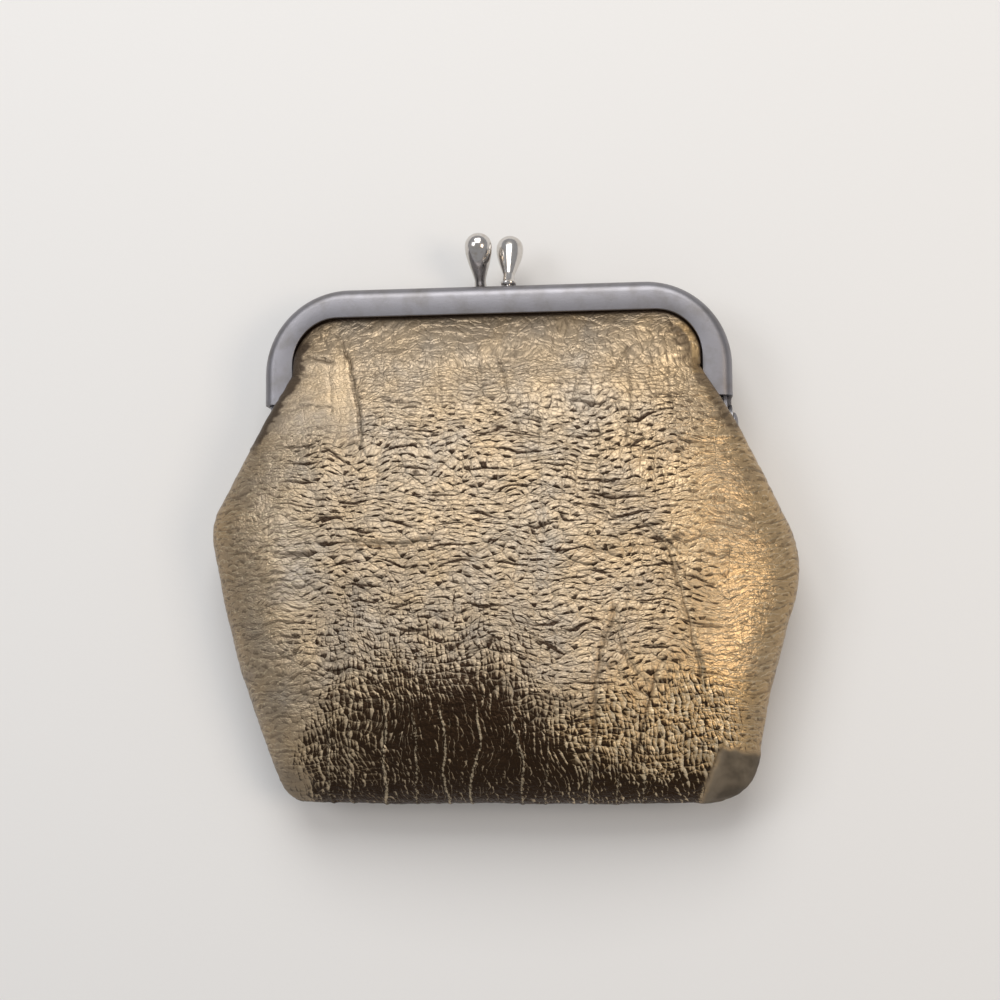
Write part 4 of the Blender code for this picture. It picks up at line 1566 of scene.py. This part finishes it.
    def _seat(self, wander: Grid, worn: Grid) -> Grid:
        """Painted shade under the lip, down the side walls and near the edges.

        Args:
            wander: How far the borders stray, in millimetres.
            worn: Where the foil is worn off.

        Returns:
            A share from 0 to 1.
        """
        x, d, inward, inset = self.x_mm, self.d_mm, self.inward, self.inset
        round_corner = eased(np.abs(x), 24, 31) * (x < 0)
        seat = np.exp(-np.maximum(inward, 0.0) / (0.40 + 0.7 * round_corner)) * (d < 15.5)
        tips = 1.2 * np.abs(np.sin(d / 1.15 + wander)) * np.abs(np.sin(d / 0.5 + 2 * wander))
        wall = faded(inset + tips, 2.3, 3.1) * eased(d, 8, 10) * faded(d + wander, 26, 31)
        pocket = eased(inward, 1.1, 1.7) * faded(inward + 2 * tips, 3.6, 5.4) * eased(x, 27, 31)
        pocket = 0.62 * pocket * faded(d + wander, 13.5, 17.0)
        right = np.maximum(pocket, 0.60 * wall * eased(d, 12.0, 15.5))
        wall = np.where(x < 0, 0.88 * wall, right)
        seat = np.maximum(seat, wall * (self.facing is Facing.FRONT))
        edge = 0.38 * np.exp(-np.maximum(inset, 0.0) / 2.4) * eased(d, 22, 38)
        edge += 0.14 * faded(x + 2 * wander, -46, -30) + 0.15 * self.zone["patch"]
        return np.maximum(seat, np.minimum(edge, 0.45) * (1 - worn))

    def attributes(self) -> dict[str, Grid]:
        """What the foil's material reads.

        Returns:
            A grid of values from 0 to 1 for each attribute.
        """
        x, d, zone = self.x_mm, self.d_mm, self.zone
        crease, thread = (
            np.max([0 * x, *(fold.apply(*self.drawn)[1] for fold in folds)], axis=0)
            for folds in self.folds
        )
        wander = 0.8 * ripple(x / 3.4, d / 3.4, 151, 3)
        left = faded(x + wander, -34.4, -31.4) * eased(d + wander, 82.4, 85.0)
        worn = np.clip(zone["corner"] + 0.5 * left, 0, 1)
        crush = 0.22 * (1 - zone["patch"]) + zone["crushed"]
        crush += 0.55 * zone["golden"] + 0.25 * zone["sides"] + 0.25 * zone["bottom"]
        # Two of these values are painted shade: the darkening of the lower and outer foil, and the darkening
        # under the lip and near the edges
        values = {
            "crease": crease,
            "thread": thread * (1 - worn),
            "crush": crush * (1 - worn),
            "satin": (zone["sides"] + 0.35 * zone["patch"]) * (1 - worn),
            "worn": worn,
            "warm": self._warm(),
            "dark": self._dark(wander) * (1 - worn),
            "seat": self._seat(wander, worn),
            "plump": zone["plump"],
        }
        return {name: np.clip(value, 0.0, 1.0) for name, value in values.items()}


# Pieces


@dataclass
class Panel:
    """A sheet of the bag, from the frame's channel down to the bottom seam."""

    shape: BagShape
    facing: Facing
    finish: Finish
    rows: int
    columns: int

    def _hang(self, made: bpy.types.Object, faces: list[tuple[Grid, Grid]]) -> None:
        """Let the front panel bend over the hinge; the rear one rides on the purse.

        Args:
            made: The panel.
            faces: Places across and drops of its outer and of its inner points.
        """
        if self.facing is Facing.REAR:
            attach(made, PURSE_BODY)
            return
        metal = self.shape.metal
        start = metal.place(0.0, metal.hinge_drop + self.shape.bend_below[0], 0.0, Facing.FRONT)
        end = metal.place(0.0, metal.lip, 0.0, Facing.FRONT)
        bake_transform(made, PURSE_BODY, FRONT_HALF, start=start, end=end)
        follow = np.concatenate([self.shape.follow(*face).ravel() for face in faces])
        made.data.attributes["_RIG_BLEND"].data.foreach_set("value", follow.astype(np.float32))


@dataclass
class LeatherPanel(Panel):
    """A leather side of the bag: crinkled outside, plain inside, rolled in at the seam."""

    finish: FoilLeather
    step: int = 4
    rear_relief: float = 0.6
    roll: float = 0.00055
    roll_depth: float = 0.0006
    roll_rise: float = 0.0200

    def make(self, name: str, nodes: Sequence[str]) -> bpy.types.Object:
        """Build the panel.

        Args:
            name: The piece's name.
            nodes: The CAD nodes that it stands for.

        Returns:
            The panel's object.
        """
        shape, metal = self.shape, self.shape.metal
        drops, down = shape.drops(self.facing, self.rows)
        edge = shape.leather_edge
        x, depth, across, drop = shape.grid(drops, 0.0, self.facing, edge, self.columns)
        x, drop_tucked = self._tuck(x, drop, depth)
        outer = metal.world(x, drop_tucked, depth, self.facing)
        down = np.repeat(down[:, None], self.columns + 1, axis=1)
        relief = Crinkles(shape, self.finish, self.facing, x, drop, across, down)
        heights = relief.heights() * (1.0 if self.facing is Facing.FRONT else self.rear_relief)
        outer = outer + self._outward(outer) * heights[..., None] * MM
        if self.facing is Facing.REAR:
            outer[..., 2] = np.maximum(outer[..., 2], 0.0)
        in_drops = drops[:: self.step]
        in_drops = in_drops - shape.leather * eased(in_drops, shape.fall_drop, shape.drop)
        in_columns = self.columns // self.step
        inside = shape.grid(in_drops, shape.leather, self.facing, edge, in_columns)
        in_x, in_depth, _, in_drop = inside
        inner = metal.world(in_x, in_drop, in_depth, self.facing)
        data = shell(name, outer, inner, self.step)
        made = put(name, data, self.finish.make())
        self._store(data, relief.place, relief.attributes())
        self._hang(made, [(x, drop), (in_x, in_drop)])
        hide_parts(*nodes)
        return made

    def _tuck(self, x: Grid, drop: Grid, depth: Grid) -> tuple[Grid, Grid]:
        """Roll the face in towards the seam, where the two panels meet.

        Args:
            x: Places across.
            drop: Their drops.
            depth: Their depths.

        Returns:
            The new places across, and their drops.
        """
        shape = self.shape
        sewn = eased(drop, shape.ear_passed, shape.seam_start)
        away = np.maximum(depth - shape.half_seam, 0.0)
        roll = self.roll * np.exp(-away / self.roll_depth) * sewn
        bottom = eased(drop, shape.fall_drop + self.roll_rise, shape.drop)
        return x - np.sign(x) * roll * (1 - bottom), drop - roll * bottom

    def _outward(self, points: Grid) -> Grid:
        """Unit normals of the grid that point away from the bag.

        Args:
            points: World points, rows by columns.

        Returns:
            A unit vector for each point.
        """
        normal = np.cross(np.gradient(points, axis=0), np.gradient(points, axis=1))
        normal /= np.maximum(np.linalg.norm(normal, axis=-1, keepdims=True), 1e-12)
        return normal if self.facing is Facing.FRONT else -normal

    def _store(self, data: bpy.types.Mesh, place: Grid, zones: dict[str, Grid]) -> None:
        """Store place and zones on the outer points; inner ones get the nearest value.

        Args:
            data: The panel's mesh.
            place: Place of each outer point on the panel.
            zones: Values of each outer point, by the attribute's name.
        """
        step = self.step
        whole = np.concatenate([place.reshape(-1, 3), place[::step, ::step].reshape(-1, 3)])
        add_values(data, "panel_place", whole, "FLOAT_VECTOR")
        for name, values in zones.items():
            whole = np.concatenate([values.ravel(), values[::step, ::step].ravel()])
            add_values(data, name, whole)


@dataclass
class LiningPanel(Panel):
    """A side of the cloth lining, which hangs loose inside the leather."""

    rows: int = 84
    columns: int = 88
    slack: float = 0.00012
    slack_wide: float = 0.007
    slack_tall: float = 0.009
    slack_starts: Pair = (0.008, 0.012)
    hem_cells: int = 6

    def make(self, name: str, nodes: Sequence[str]) -> bpy.types.Object:
        """Build the panel, which stands for the nodes.

        Args:
            name: The piece's name.
            nodes: The CAD nodes that it stands for.

        Returns:
            The piece's object.
        """
        shape, metal = self.shape, self.shape.metal
        drops, down = shape.drops(self.facing, self.rows)
        first = shape.lining_layer
        faces, places = [], []
        for layer in (first, first + shape.lining):
            rows = drops - layer * eased(drops, shape.fall_drop, shape.drop)
            face = shape.grid(rows, layer, self.facing, shape.lining_edge, self.columns)
            x, depth, across, drop = face
            t = np.repeat(down[:, None], self.columns + 1, axis=1)
            slack = ripple(across / self.slack_wide, t / self.slack_tall, 211, 2) * self.slack
            hem = np.minimum(np.arange(self.columns + 1), np.arange(self.columns + 1)[::-1])
            slack = np.abs(slack) * eased(hem, 0, self.hem_cells)
            depth = depth - slack * eased(drop, *self.slack_starts)
            faces.append(metal.world(x, drop, depth, self.facing))
            places.append((x, drop))
        data = shell(name, faces[0], faces[1], 1)
        made = put(name, data, self.finish.make())
        place = np.stack([across / MM, t / MM, np.zeros_like(t)], axis=-1).reshape(-1, 3)
        add_values(data, "panel_place", np.concatenate([place, place]), "FLOAT_VECTOR")
        self._hang(made, places)
        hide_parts(*nodes)
        return made


@dataclass
class ChannelHalf:
    """One half of the frame: a folded channel with ears that carry the hinge."""

    metal: FrameShape
    facing: Facing
    knob: "ClaspKnob"
    corner_steps: int = 28
    edge_steps: int = 8
    lip_steps: int = 3
    ear_steps: int = 48
    lip_round: float = 0.00018
    crease: float = 38.0

    def _section(self) -> list[Pair]:
        """The channel's section, with eased sheet edges.

        Returns:
            Points of (inset, depth) all round.
        """
        m, r, steps = self.metal, self.lip_round, self.edge_steps
        low, high = m.part_gap, m.half_depth
        bend = (m.edge, high - m.edge)
        return [
            *arc((r, low + r), r, -QUARTER, -math.pi, self.lip_steps),
            *arc(bend, m.edge, math.pi, QUARTER, steps),
            *self._lip(m.face, high - m.sheet),
            *arc(bend, m.edge - m.sheet, QUARTER, math.pi, steps),
            (m.sheet, low + m.sheet),
            *self._lip(m.flange, low),
        ]

    def _lip(self, inset: float, low: float) -> list[Pair]:
        """The rounded edge of the sheet at an inset, down to its low side.

        Args:
            inset: Where the sheet ends.
            low: Depth of its low side.

        Returns:
            Points of (inset, depth).
        """
        r, high = self.lip_round, low + self.metal.sheet
        upper = arc((inset - r, high - r), r, QUARTER, 0.0, self.lip_steps)
        return upper + arc((inset - r, low + r), r, 0.0, -QUARTER, self.lip_steps)

    def _ear(self, side: Side) -> list[tuple[bpy.types.Mesh, str]]:
        """The tools that join an ear and its arm to a leg and drill it.

        Args:
            side: The side of the purse.

        Returns:
            Each tool's mesh and its operation.
        """
        m = self.metal
        front = self.facing is Facing.FRONT
        inset = m.ear_inset + (m.ear_sheet + m.clear if front else 0.0)
        low, high = m.part_gap + m.sheet / 2, m.ear - m.clear / 3
        arm_end = m.ear + m.ear_relief + m.arm_overlap
        first, last = math.asin(high / m.ear), 2 * math.pi + math.asin(low / m.ear)
        outline = arc((0.0, 0.0), m.ear, first, last, self.ear_steps)
        outline += [(arm_end, low), (arm_end, high)]
        tools = [(self._plate("ear", side, outline, (inset, inset + m.ear_sheet)), "UNION")]
        if front:
            near, far = m.ear + m.ear_relief + m.clear, arm_end - m.clear
            block = [(near, 2 * low), (far, 2 * low), (far, high - low), (near, high - low)]
            ends = (m.sheet / 2, inset + m.ear_sheet / 2)
            tools.append((self._plate("joggle", side, block, ends), "UNION"))
        hole = circle(m.rivet + m.clear, HOLE_SIDES)
        ends = (-m.ear_sheet, inset + 2 * m.ear_sheet)
        return [*tools, (self._plate("hole", side, hole, ends), "DIFFERENCE")]

    def _plate(self, name: str, side: Side, outline: list[Pair], insets: Pair) -> bpy.types.Mesh:
        """A plate square to X, from an outline round the hinge.

        Args:
            name: The mesh's name.
            side: The side of the purse.
            outline: Points of (y, z) from the hinge.
            insets: Where its two faces lie.

        Returns:
            The mesh.
        """
        m = self.metal
        rings = [
            [m.by_hinge(side, inset, y, self.facing.value * z) for y, z in outline]
            for inset in insets
        ]
        return tube(name, rings)

    def make(self, name: str, body: str, surface: bpy.types.Material) -> bpy.types.Object:
        """Build the half, which rides on the body and stands for the node of its name.

        Args:
            name: Name of the piece's node.
            body: The body that it rides on.
            surface: Its finish.

        Returns:
            The piece's object.
        """
        m = self.metal
        rails = []
        for inset, depth in self._section():
            rail = m.rail(inset, m.channel_end, self.corner_steps)
            rails.append([m.place(x, drop, depth, self.facing) for x, drop in rail])
        channel = put("channel", tube("channel", [list(ring) for ring in zip(*rails)]), surface)
        hole = (self.knob.hole(), "DIFFERENCE")
        data = joined(channel, [*self._ear(Side.LEFT), *self._ear(Side.RIGHT), hole])
        bpy.data.objects.remove(channel, do_unlink=True)
        data.name = name
        data.shade_smooth()
        data.set_sharp_from_angle(angle=math.radians(self.crease))
        made = put(f"{name}_channel", data, surface)
        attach(made, body)
        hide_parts(name)
        return made


@dataclass
class ClaspKnob:
    """A clasp knob: tail, shank and collar, then a pear-shaped head that leans over."""

    metal: FrameShape
    facing: Facing
    offset: float = -0.0004
    gap: float = 0.0006
    lean: float = math.radians(28)
    head: float = 0.0024
    head_at: float = 0.0085
    neck: float = 0.0010
    neck_at: float = 0.0022
    shank: float = 0.00065
    collar: float = 0.00135
    collar_height: float = 0.0006
    chamfer: float = 0.0001
    tail: float = 0.00095
    swell: float = 1.35
    swell_steps: int = 18
    dome_steps: int = 14
    sides: int = 48
    crease: float = 50.0

    def _root(self) -> Vector:
        """Where the knob's shank meets the frame's top edge.

        Returns:
            The world point.
        """
        m = self.metal
        x = m.centre_x + self.offset + self.facing.value * (2 * self.head + self.gap) / 2
        depth = m.part_gap + m.sheet + m.clear + self.tail
        return Vector((x, m.top_y, m.part_z + self.facing.value * depth))

    def hole(self) -> bpy.types.Mesh:
        """The drill for the knob's hole in the frame.

        Returns:
            The drill's mesh.
        """
        m, root = self.metal, self._root()
        drill = circle(self.shank + m.clear, HOLE_SIDES)
        ends = (m.sheet, -m.sheet - m.clear)
        rings = [[(root.x + x, root.y + end, root.z + z) for x, z in drill] for end in ends]
        return tube("knob_hole", rings)

    def _profile(self) -> list[Pair]:
        """The knob's outline, tail to tip.

        Returns:
            Rings as (distance along the bent shank, radius).
        """
        m, ease = self.metal, self.chamfer
        under = -m.sheet - m.clear
        bend_at = m.clear + self.collar_height
        rings = [
            (under - m.knob_tail, self.tail - m.knob_tail / 3),
            (under - m.knob_tail / 2, self.tail),
            (under, self.tail),
            (under, self.shank),
            (m.clear, self.shank),
            (m.clear, self.collar - ease),
            (m.clear + ease, self.collar),
            (bend_at - ease, self.collar),
            (bend_at, self.collar - 1.2 * ease),
            (bend_at + 0.4 * ease, self.neck + ease),
        ]
        for t in np.linspace(0.0, 1.0, self.swell_steps + 1):
            radius = self.neck + (self.head - self.neck) * math.sin(QUARTER * t) ** self.swell
            rings.append((self.neck_at + (self.head_at - self.neck_at) * t, radius))
        rings += arc((self.head_at, 0.0), self.head, QUARTER, 0.0, self.dome_steps)[1:-1]
        return [*rings, (self.head_at + self.head, TIP_RADIUS)]

    def make(self, name: str, body: str, surface: bpy.types.Material) -> bpy.types.Object:
        """Build the knob, which rides on the body and stands for the node of its name.

        Args:
            name: Name of the piece's node.
            body: The body that it rides on.
            surface: Its finish.

        Returns:
            The piece's object.
        """
        m, root = self.metal, self._root()
        bend_at = m.clear + self.collar_height
        along_y, along_z = math.cos(self.lean), -self.facing.value * math.sin(self.lean)
        rings = []
        for distance, radius in self._profile():
            past = max(distance - bend_at, 0.0)
            y, z = root.y + distance - past + past * along_y, root.z + past * along_z
            up, back = (along_y, along_z) if past else (1.0, 0.0)
            ring = circle(radius, self.sides)
            rings.append([(root.x + a, y - b * back, z + b * up) for a, b in ring])
        made = put(f"{name}_head", tube(name, rings, self.crease), surface)
        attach(made, body)
        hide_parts(name)
        return made


@dataclass
class HingeRivet:
    """A rivet through both ears: domed head outside, flat tail inside."""

    metal: FrameShape
    side: Side
    head: float = 0.0019
    head_height: float = 0.0008
    tail: float = 0.0017
    chamfer: float = 0.00008
    dome_steps: int = 10
    sides: int = 40
    crease: float = 40.0

    def make(self, name: str, surface: bpy.types.Material) -> bpy.types.Object:
        """Build the rivet, which stands for the node of its name.

        Args:
            name: Name of the piece's node.
            surface: Its finish.

        Returns:
            The piece's object.
        """
        m, ease = self.metal, self.chamfer
        under = m.ear_inset - m.clear
        seat = m.ear_inset + 2 * (m.ear_sheet + m.clear)
        end = seat + m.rivet_tail
        turn = np.linspace(QUARTER, 0.0, self.dome_steps + 1)[1:-1]
        profile = [(under - self.head_height, TIP_RADIUS)]
        for a in turn:
            profile.append((under - self.head_height * math.sin(a), self.head * math.cos(a)))
        profile += [
            (under, self.head - ease / 2),
            (under, m.rivet),
            (seat, m.rivet),
            (seat, self.tail - ease),
            (seat + ease, self.tail),
            (end - 1.5 * ease, self.tail),
            (end, self.tail - 2 * ease),
        ]
        rings = [
            [m.by_hinge(self.side, inset, y, z) for y, z in circle(radius, self.sides)]
            for inset, radius in profile
        ]
        made = put(f"{name}_pin", tube(name, rings, self.crease), surface)
        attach(made, PURSE_BODY)
        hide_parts(name)
        return made


# Pieces that repeat along a path


class PathGraph(Graph):
    """A geometry tree that works along a curve, with named inputs for its sizes."""

    def __init__(
        self, name: str, sizes: dict[str, float], surface: bpy.types.Material | None
    ) -> None:
        """Make the tree with a geometry input and one number for each size.

        Args:
            name: The tree's name.
            sizes: The value of each size.
            surface: Finish of what the tree makes, if it makes a piece.
        """
        super().__init__(bpy.data.node_groups.new(name, "GeometryNodeTree"))
        self.surface = surface
        face = self.tree.interface
        face.new_socket("Geometry", in_out="INPUT", socket_type="NodeSocketGeometry")
        face.new_socket("Geometry", in_out="OUTPUT", socket_type="NodeSocketGeometry")
        self.values = {}
        for size, value in sizes.items():
            socket = face.new_socket(size, in_out="INPUT", socket_type="NodeSocketFloat")
            self.values[socket.identifier] = value
        self.start = self.node("NodeGroupInput", {}, {})

    def size(self, name: str) -> Signal:
        """One of the tree's named sizes."""
        return self.start.output(name)

    def finish(self, shape: Signal) -> None:
        """End the tree: real copies, then their material.

        Args:
            shape: What the tree has made.
        """
        real = self.node("GeometryNodeRealizeInstances", {}, {"Geometry": shape})
        sockets = {"Geometry": real, "Material": self.surface}
        dressed = self.node("GeometryNodeSetMaterial", {}, sockets)
        self.node("NodeGroupOutput", {}, {0: dressed})

    def run(self, name: str, path: Sequence[Point]) -> bpy.types.Object:
        """Place the plain mesh that the tree makes along a path.

        Args:
            name: The piece's name.
            path: Points of the path.

        Returns:
            The piece's object.
        """
        curve = bpy.data.curves.new(name, "CURVE")
        curve.dimensions = "3D"
        line = curve.splines.new("POLY")
        line.points.add(len(path) - 1)
        for spot, point in zip(line.points, path):
            spot.co = (*point, 1.0)
        carrier = linked(name, curve)
        step = carrier.modifiers.new("path", "NODES")
        step.node_group = self.tree
        for identifier, value in self.values.items():
            step[identifier] = value
        bpy.context.view_layer.update()
        made = evaluated(carrier)
        bpy.data.objects.remove(carrier, do_unlink=True)
        made.shade_smooth()
        return put(name, made, self.surface)


@dataclass
class Stitching:
    """A run of small thread stitches that lie along a seam."""

    thread: SpunThread
    pitch: float
    length: float
    thickness: float

    def make(self, name: str, path: Sequence[Point], node: str, slot: str) -> bpy.types.Object:
        """Lay the stitches along a path; they stand for the node.

        Args:
            name: The piece's name.
            path: Points of the seam.
            node: The CAD node.
            slot: Name of its material slot; not used.

        Returns:
            The piece's object.
        """
        sizes = {"pitch": self.pitch, "length": self.length, "thickness": self.thickness}
        g = PathGraph(f"{name}_tree", sizes, self.thread.make())
        sockets = {"Curve": g.start, "Length": g.size("pitch")}
        even = g.node("GeometryNodeCurveToPoints", {"mode": "LENGTH"}, sockets)
        bead = g.node("GeometryNodeMeshUVSphere", {}, {"Segments": 8, "Rings": 6, "Radius": 0.5})
        thick = g.size("thickness")
        sockets = {"X": thick, "Y": thick, "Z": g.size("length")}
        scale = g.node("ShaderNodeCombineXYZ", {}, sockets)
        sockets = {"Points": even, "Instance": bead, "Scale": scale}
        sockets["Rotation"] = even.output("Rotation")
        g.finish(g.node("GeometryNodeInstanceOnPoints", {}, sockets))
        made = g.run(name, path)
        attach(made, PURSE_BODY)
        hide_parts(node)
        return made


@dataclass
class TwistedCord:
    """Paper cord of three strands that wedges the leather into a channel."""

    paper: SpunThread
    diameter: float = 0.0007
    strands: int = 3
    lay: float = 0.0026
    steps_per_lay: int = 9
    strand_share: float = 0.23
    strand_sides: int = 6
    corner_steps: int = 12

    def make(self, name: str, path: Sequence[Point], body: str, node: str) -> bpy.types.Object:
        """Twist the cord along a path; it stands for the node.

        Args:
            name: The piece's name.
            path: Points of the channel's U.
            body: The body that it rides on.
            node: The CAD node.

        Returns:
            The piece's object.
        """
        sizes = {"diameter": self.diameter, "lay": self.lay}
        g = PathGraph(f"{name}_tree", sizes, self.paper.make())
        sockets = {"Curve": g.start, "Length": self.lay / self.steps_per_lay}
        fine = g.node("GeometryNodeResampleCurve", {"mode": "LENGTH"}, sockets)
        along = g.node("GeometryNodeSplineParameter", {}, {}).output("Length")
        tangent = g.node("GeometryNodeInputTangent", {}, {})
        normal = g.node("GeometryNodeInputNormal", {}, {})
        across = g.vector("CROSS_PRODUCT", tangent, normal)
        radius = g.size("diameter") * self.strand_share
        tubes = []
        for strand in range(self.strands):
            turn = along / g.size("lay") * (2 * math.pi) + 2 * math.pi * strand / self.strands
            first = g.times(normal, turn.wave() * radius)
            second = g.times(across, (turn + QUARTER).wave() * radius)
            sockets = {"Geometry": fine, "Offset": g.vector("ADD", first, second)}
            moved = g.node("GeometryNodeSetPosition", {}, sockets)
            sockets = {"Resolution": self.strand_sides, "Radius": radius}
            ring = g.node("GeometryNodeCurvePrimitiveCircle", {}, sockets)
            sockets = {"Curve": moved, "Profile Curve": ring, "Fill Caps": True}
            tubes.append(g.node("GeometryNodeCurveToMesh", {}, sockets))
        both = g.node("GeometryNodeJoinGeometry", {}, {})
        for strand in reversed(tubes):
            g.feed(both.socket.node.inputs[0], strand)
        g.finish(both)
        made = g.run(name, path)
        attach(made, body)
        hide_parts(node)
        return made


def seam_path(shape: BagShape, layer: float, start: float) -> list[Point]:
    """The seam from one side round the bottom to the other.

    Args:
        shape: The bag.
        layer: How far the seam lies inside the bag's outline.
        start: Drop of both its ends.

    Returns:
        Points of the seam.
    """
    pitch, turn, turn_points = 0.0012, 0.004, 14
    end = shape.drop - layer
    rounding = end - turn * np.cos(np.linspace(0, QUARTER, turn_points))
    drops = np.append(np.arange(start, end - turn, pitch), rounding)
    halves = []
    for side in Side:
        reach = shape.reach(side, drops) - layer
        places = zip(side.value * reach, drops)
        halves.append([shape.metal.place(x, drop, 0.0, Facing.FRONT) for x, drop in places])
    return halves[0] + halves[1][::-1]


# Studio


@dataclass
class Studio:
    """Pale floor, soft lamps and the camera of the photograph's view."""

    metal: FrameShape
    aim_right: float = 0.00066
    aim_drop: float = 0.03794
    aim_height: float = 0.0141
    distance: float = 0.272
    elevation: float = 85.0
    sideways: float = 5.22
    roll: float = -0.54
    seen_width: float = 0.1727
    world_colour: Colour = (0.95, 0.96, 1.0)
    world_strength: float = 0.38
    half_floor: float = 1.5

    def __post_init__(self) -> None:
        """Find the point that the camera and the lamps look at."""
        x, y = self.metal.centre_x + self.aim_right, self.metal.top_y - self.aim_drop
        self.target = Vector((x, y, self.aim_height))

    def build(self) -> None:
        """Make the floor, the lamps, the world and the camera."""
        self._floor()
        self._lamp("key", (-0.02, 0.50, 0.56), 0.50, 3.3, (1.0, 0.99, 0.97))
        self._lamp("side", (0.38, -0.02, 0.50), 0.22, 0.7, (1.0, 0.84, 0.66))
        self._lamp("top", (-0.44, 0.16, 0.60), 0.30, 0.9, (0.97, 0.98, 1.0))
        self._world()
        self._camera()
        bpy.context.scene.view_settings.view_transform = "Standard"

    def _floor(self) -> None:
        """A wide sheet of pale paper under the purse."""
        half = self.half_floor
        corners = [(-half, -half, 0), (half, -half, 0), (half, half, 0), (-half, half, 0)]
        data = bpy.data.meshes.new("floor")
        data.from_pydata(corners, [], [(0, 1, 2, 3)])
        put("floor", data, StudioPaper().make())

    def _lamp(self, name: str, where: Point, size: float, power: float, colour: Colour) -> None:
        """A square soft lamp aimed at the purse.

        Args:
            name: Its name.
            where: Its place.
            size: Length of its sides.
            power: Its power in watts.
            colour: Its light's colour.
        """
        lamp = bpy.data.lights.new(name, "AREA")
        lamp.shape, lamp.size, lamp.energy, lamp.color = "SQUARE", size, power, colour
        placed = linked(name, lamp)
        placed.location = where
        placed.rotation_euler = (self.target - Vector(where)).to_track_quat("-Z", "Y").to_euler()

    def _world(self) -> None:
        """Even pale surroundings."""
        world = bpy.data.worlds.new("studio")
        world.use_nodes = True
        graph = Graph(world.node_tree)
        back = world.node_tree.nodes["Background"]
        graph.feed(back.inputs["Color"], self.world_colour)
        graph.feed(back.inputs["Strength"], self.world_strength)
        bpy.context.scene.world = world

    def _camera(self) -> None:
        """Look down on the purse as the photograph does."""
        camera = bpy.data.cameras.new("camera")
        camera.sensor_width = 36.0
        camera.lens = camera.sensor_width * self.distance / self.seen_width
        camera.clip_start, camera.clip_end = 0.01, 20.0
        high, side = math.radians(self.elevation), math.radians(self.sideways)
        tilt = math.cos(side)
        back = Vector((math.sin(side), -math.cos(high) * tilt, math.sin(high) * tilt))
        up = (Vector((0.0, 1.0, 0.0)) - back * back.y).normalized()
        turn = Matrix((up.cross(back), up, back)).transposed()
        turn = Matrix.Rotation(math.radians(self.roll), 3, back) @ turn
        placed = linked("camera", camera)
        placed.matrix_world = Matrix.Translation(self.target + back * self.distance) @ turn.to_4x4()
        bpy.context.scene.camera = placed


def main() -> None:
    """Build every piece of the purse and the studio round it."""
    logging.basicConfig(level=logging.INFO, format="%(message)s")
    metal = FrameShape.from_cad()
    shape = BagShape(metal)
    nickel, polished = SatinNickel().make(), PolishedNickel().make()
    made: list[bpy.types.Object] = []
    for facing, word, body in HALVES:
        knob = ClaspKnob(metal, facing)
        made.append(ChannelHalf(metal, facing, knob).make(f"{word}_frame", body, nickel))
        made.append(knob.make(f"{word}_knob", body, polished))
    for side in Side:
        rivet = HingeRivet(metal, side)
        made.append(rivet.make(f"{side.name.lower()}_hinge_rivet", nickel))
    foil, cloth = FoilLeather(), LiningCloth()
    parts = ("upper", "fold", "lower")
    panel = LeatherPanel(shape, Facing.FRONT, foil, rows=300, columns=304)
    made.append(panel.make("front_leather", [f"front_leather_{part}" for part in parts]))
    panel = LeatherPanel(shape, Facing.REAR, foil, rows=152, columns=160)
    made.append(panel.make("rear_leather_panel", ["rear_leather"]))
    lining = LiningPanel(shape, Facing.FRONT, cloth)
    made.append(lining.make("front_lining", [f"front_lining_{part}" for part in parts]))
    lining = LiningPanel(shape, Facing.REAR, cloth)
    made.append(lining.make("rear_lining_panel", ["rear_lining"]))
    colour, shadow = (0.34, 0.27, 0.18), (0.12, 0.09, 0.06)
    thread = SpunThread("sewing_thread", colour, shadow, ply=0.0002)
    colour, shadow = (0.62, 0.52, 0.38), (0.30, 0.23, 0.15)
    paper = SpunThread("twisted_paper", colour, shadow, ply=0.0005)
    seam = seam_path(shape, shape.leather / 2, shape.seam_start + metal.clear)
    stitches = Stitching(thread, pitch=0.0021, length=0.0017, thickness=0.00022)
    made.append(stitches.make("seam_stitches", seam, "seam_thread", "thread"))
    layer = shape.lining_layer + shape.lining / 2
    seam = seam_path(shape, layer, shape.seam_start + shape.lining_hem)
    stitches = Stitching(thread, pitch=0.0018, length=0.0014, thickness=0.0002)
    made.append(stitches.make("lining_stitches", seam, "lining_seam_thread", "thread"))
    cord = TwistedCord(paper)
    depth = (metal.part_gap + metal.sheet + metal.grip - shape.lining_layer - shape.lining) / 2
    for facing, word, body in HALVES:
        rail = metal.rail(shape.grip_inset + cord.diameter, shape.grip_end, cord.corner_steps)
        path = [metal.place(x, drop, depth, facing) for x, drop in rail]
        made.append(cord.make(f"{word}_cord", path, body, f"{word}_retaining_cord"))
    for piece in made:
        LOG.info("%s: %d faces", piece.name, len(piece.data.polygons))
    Studio(metal).build()


if __name__ == "__main__":
    main()
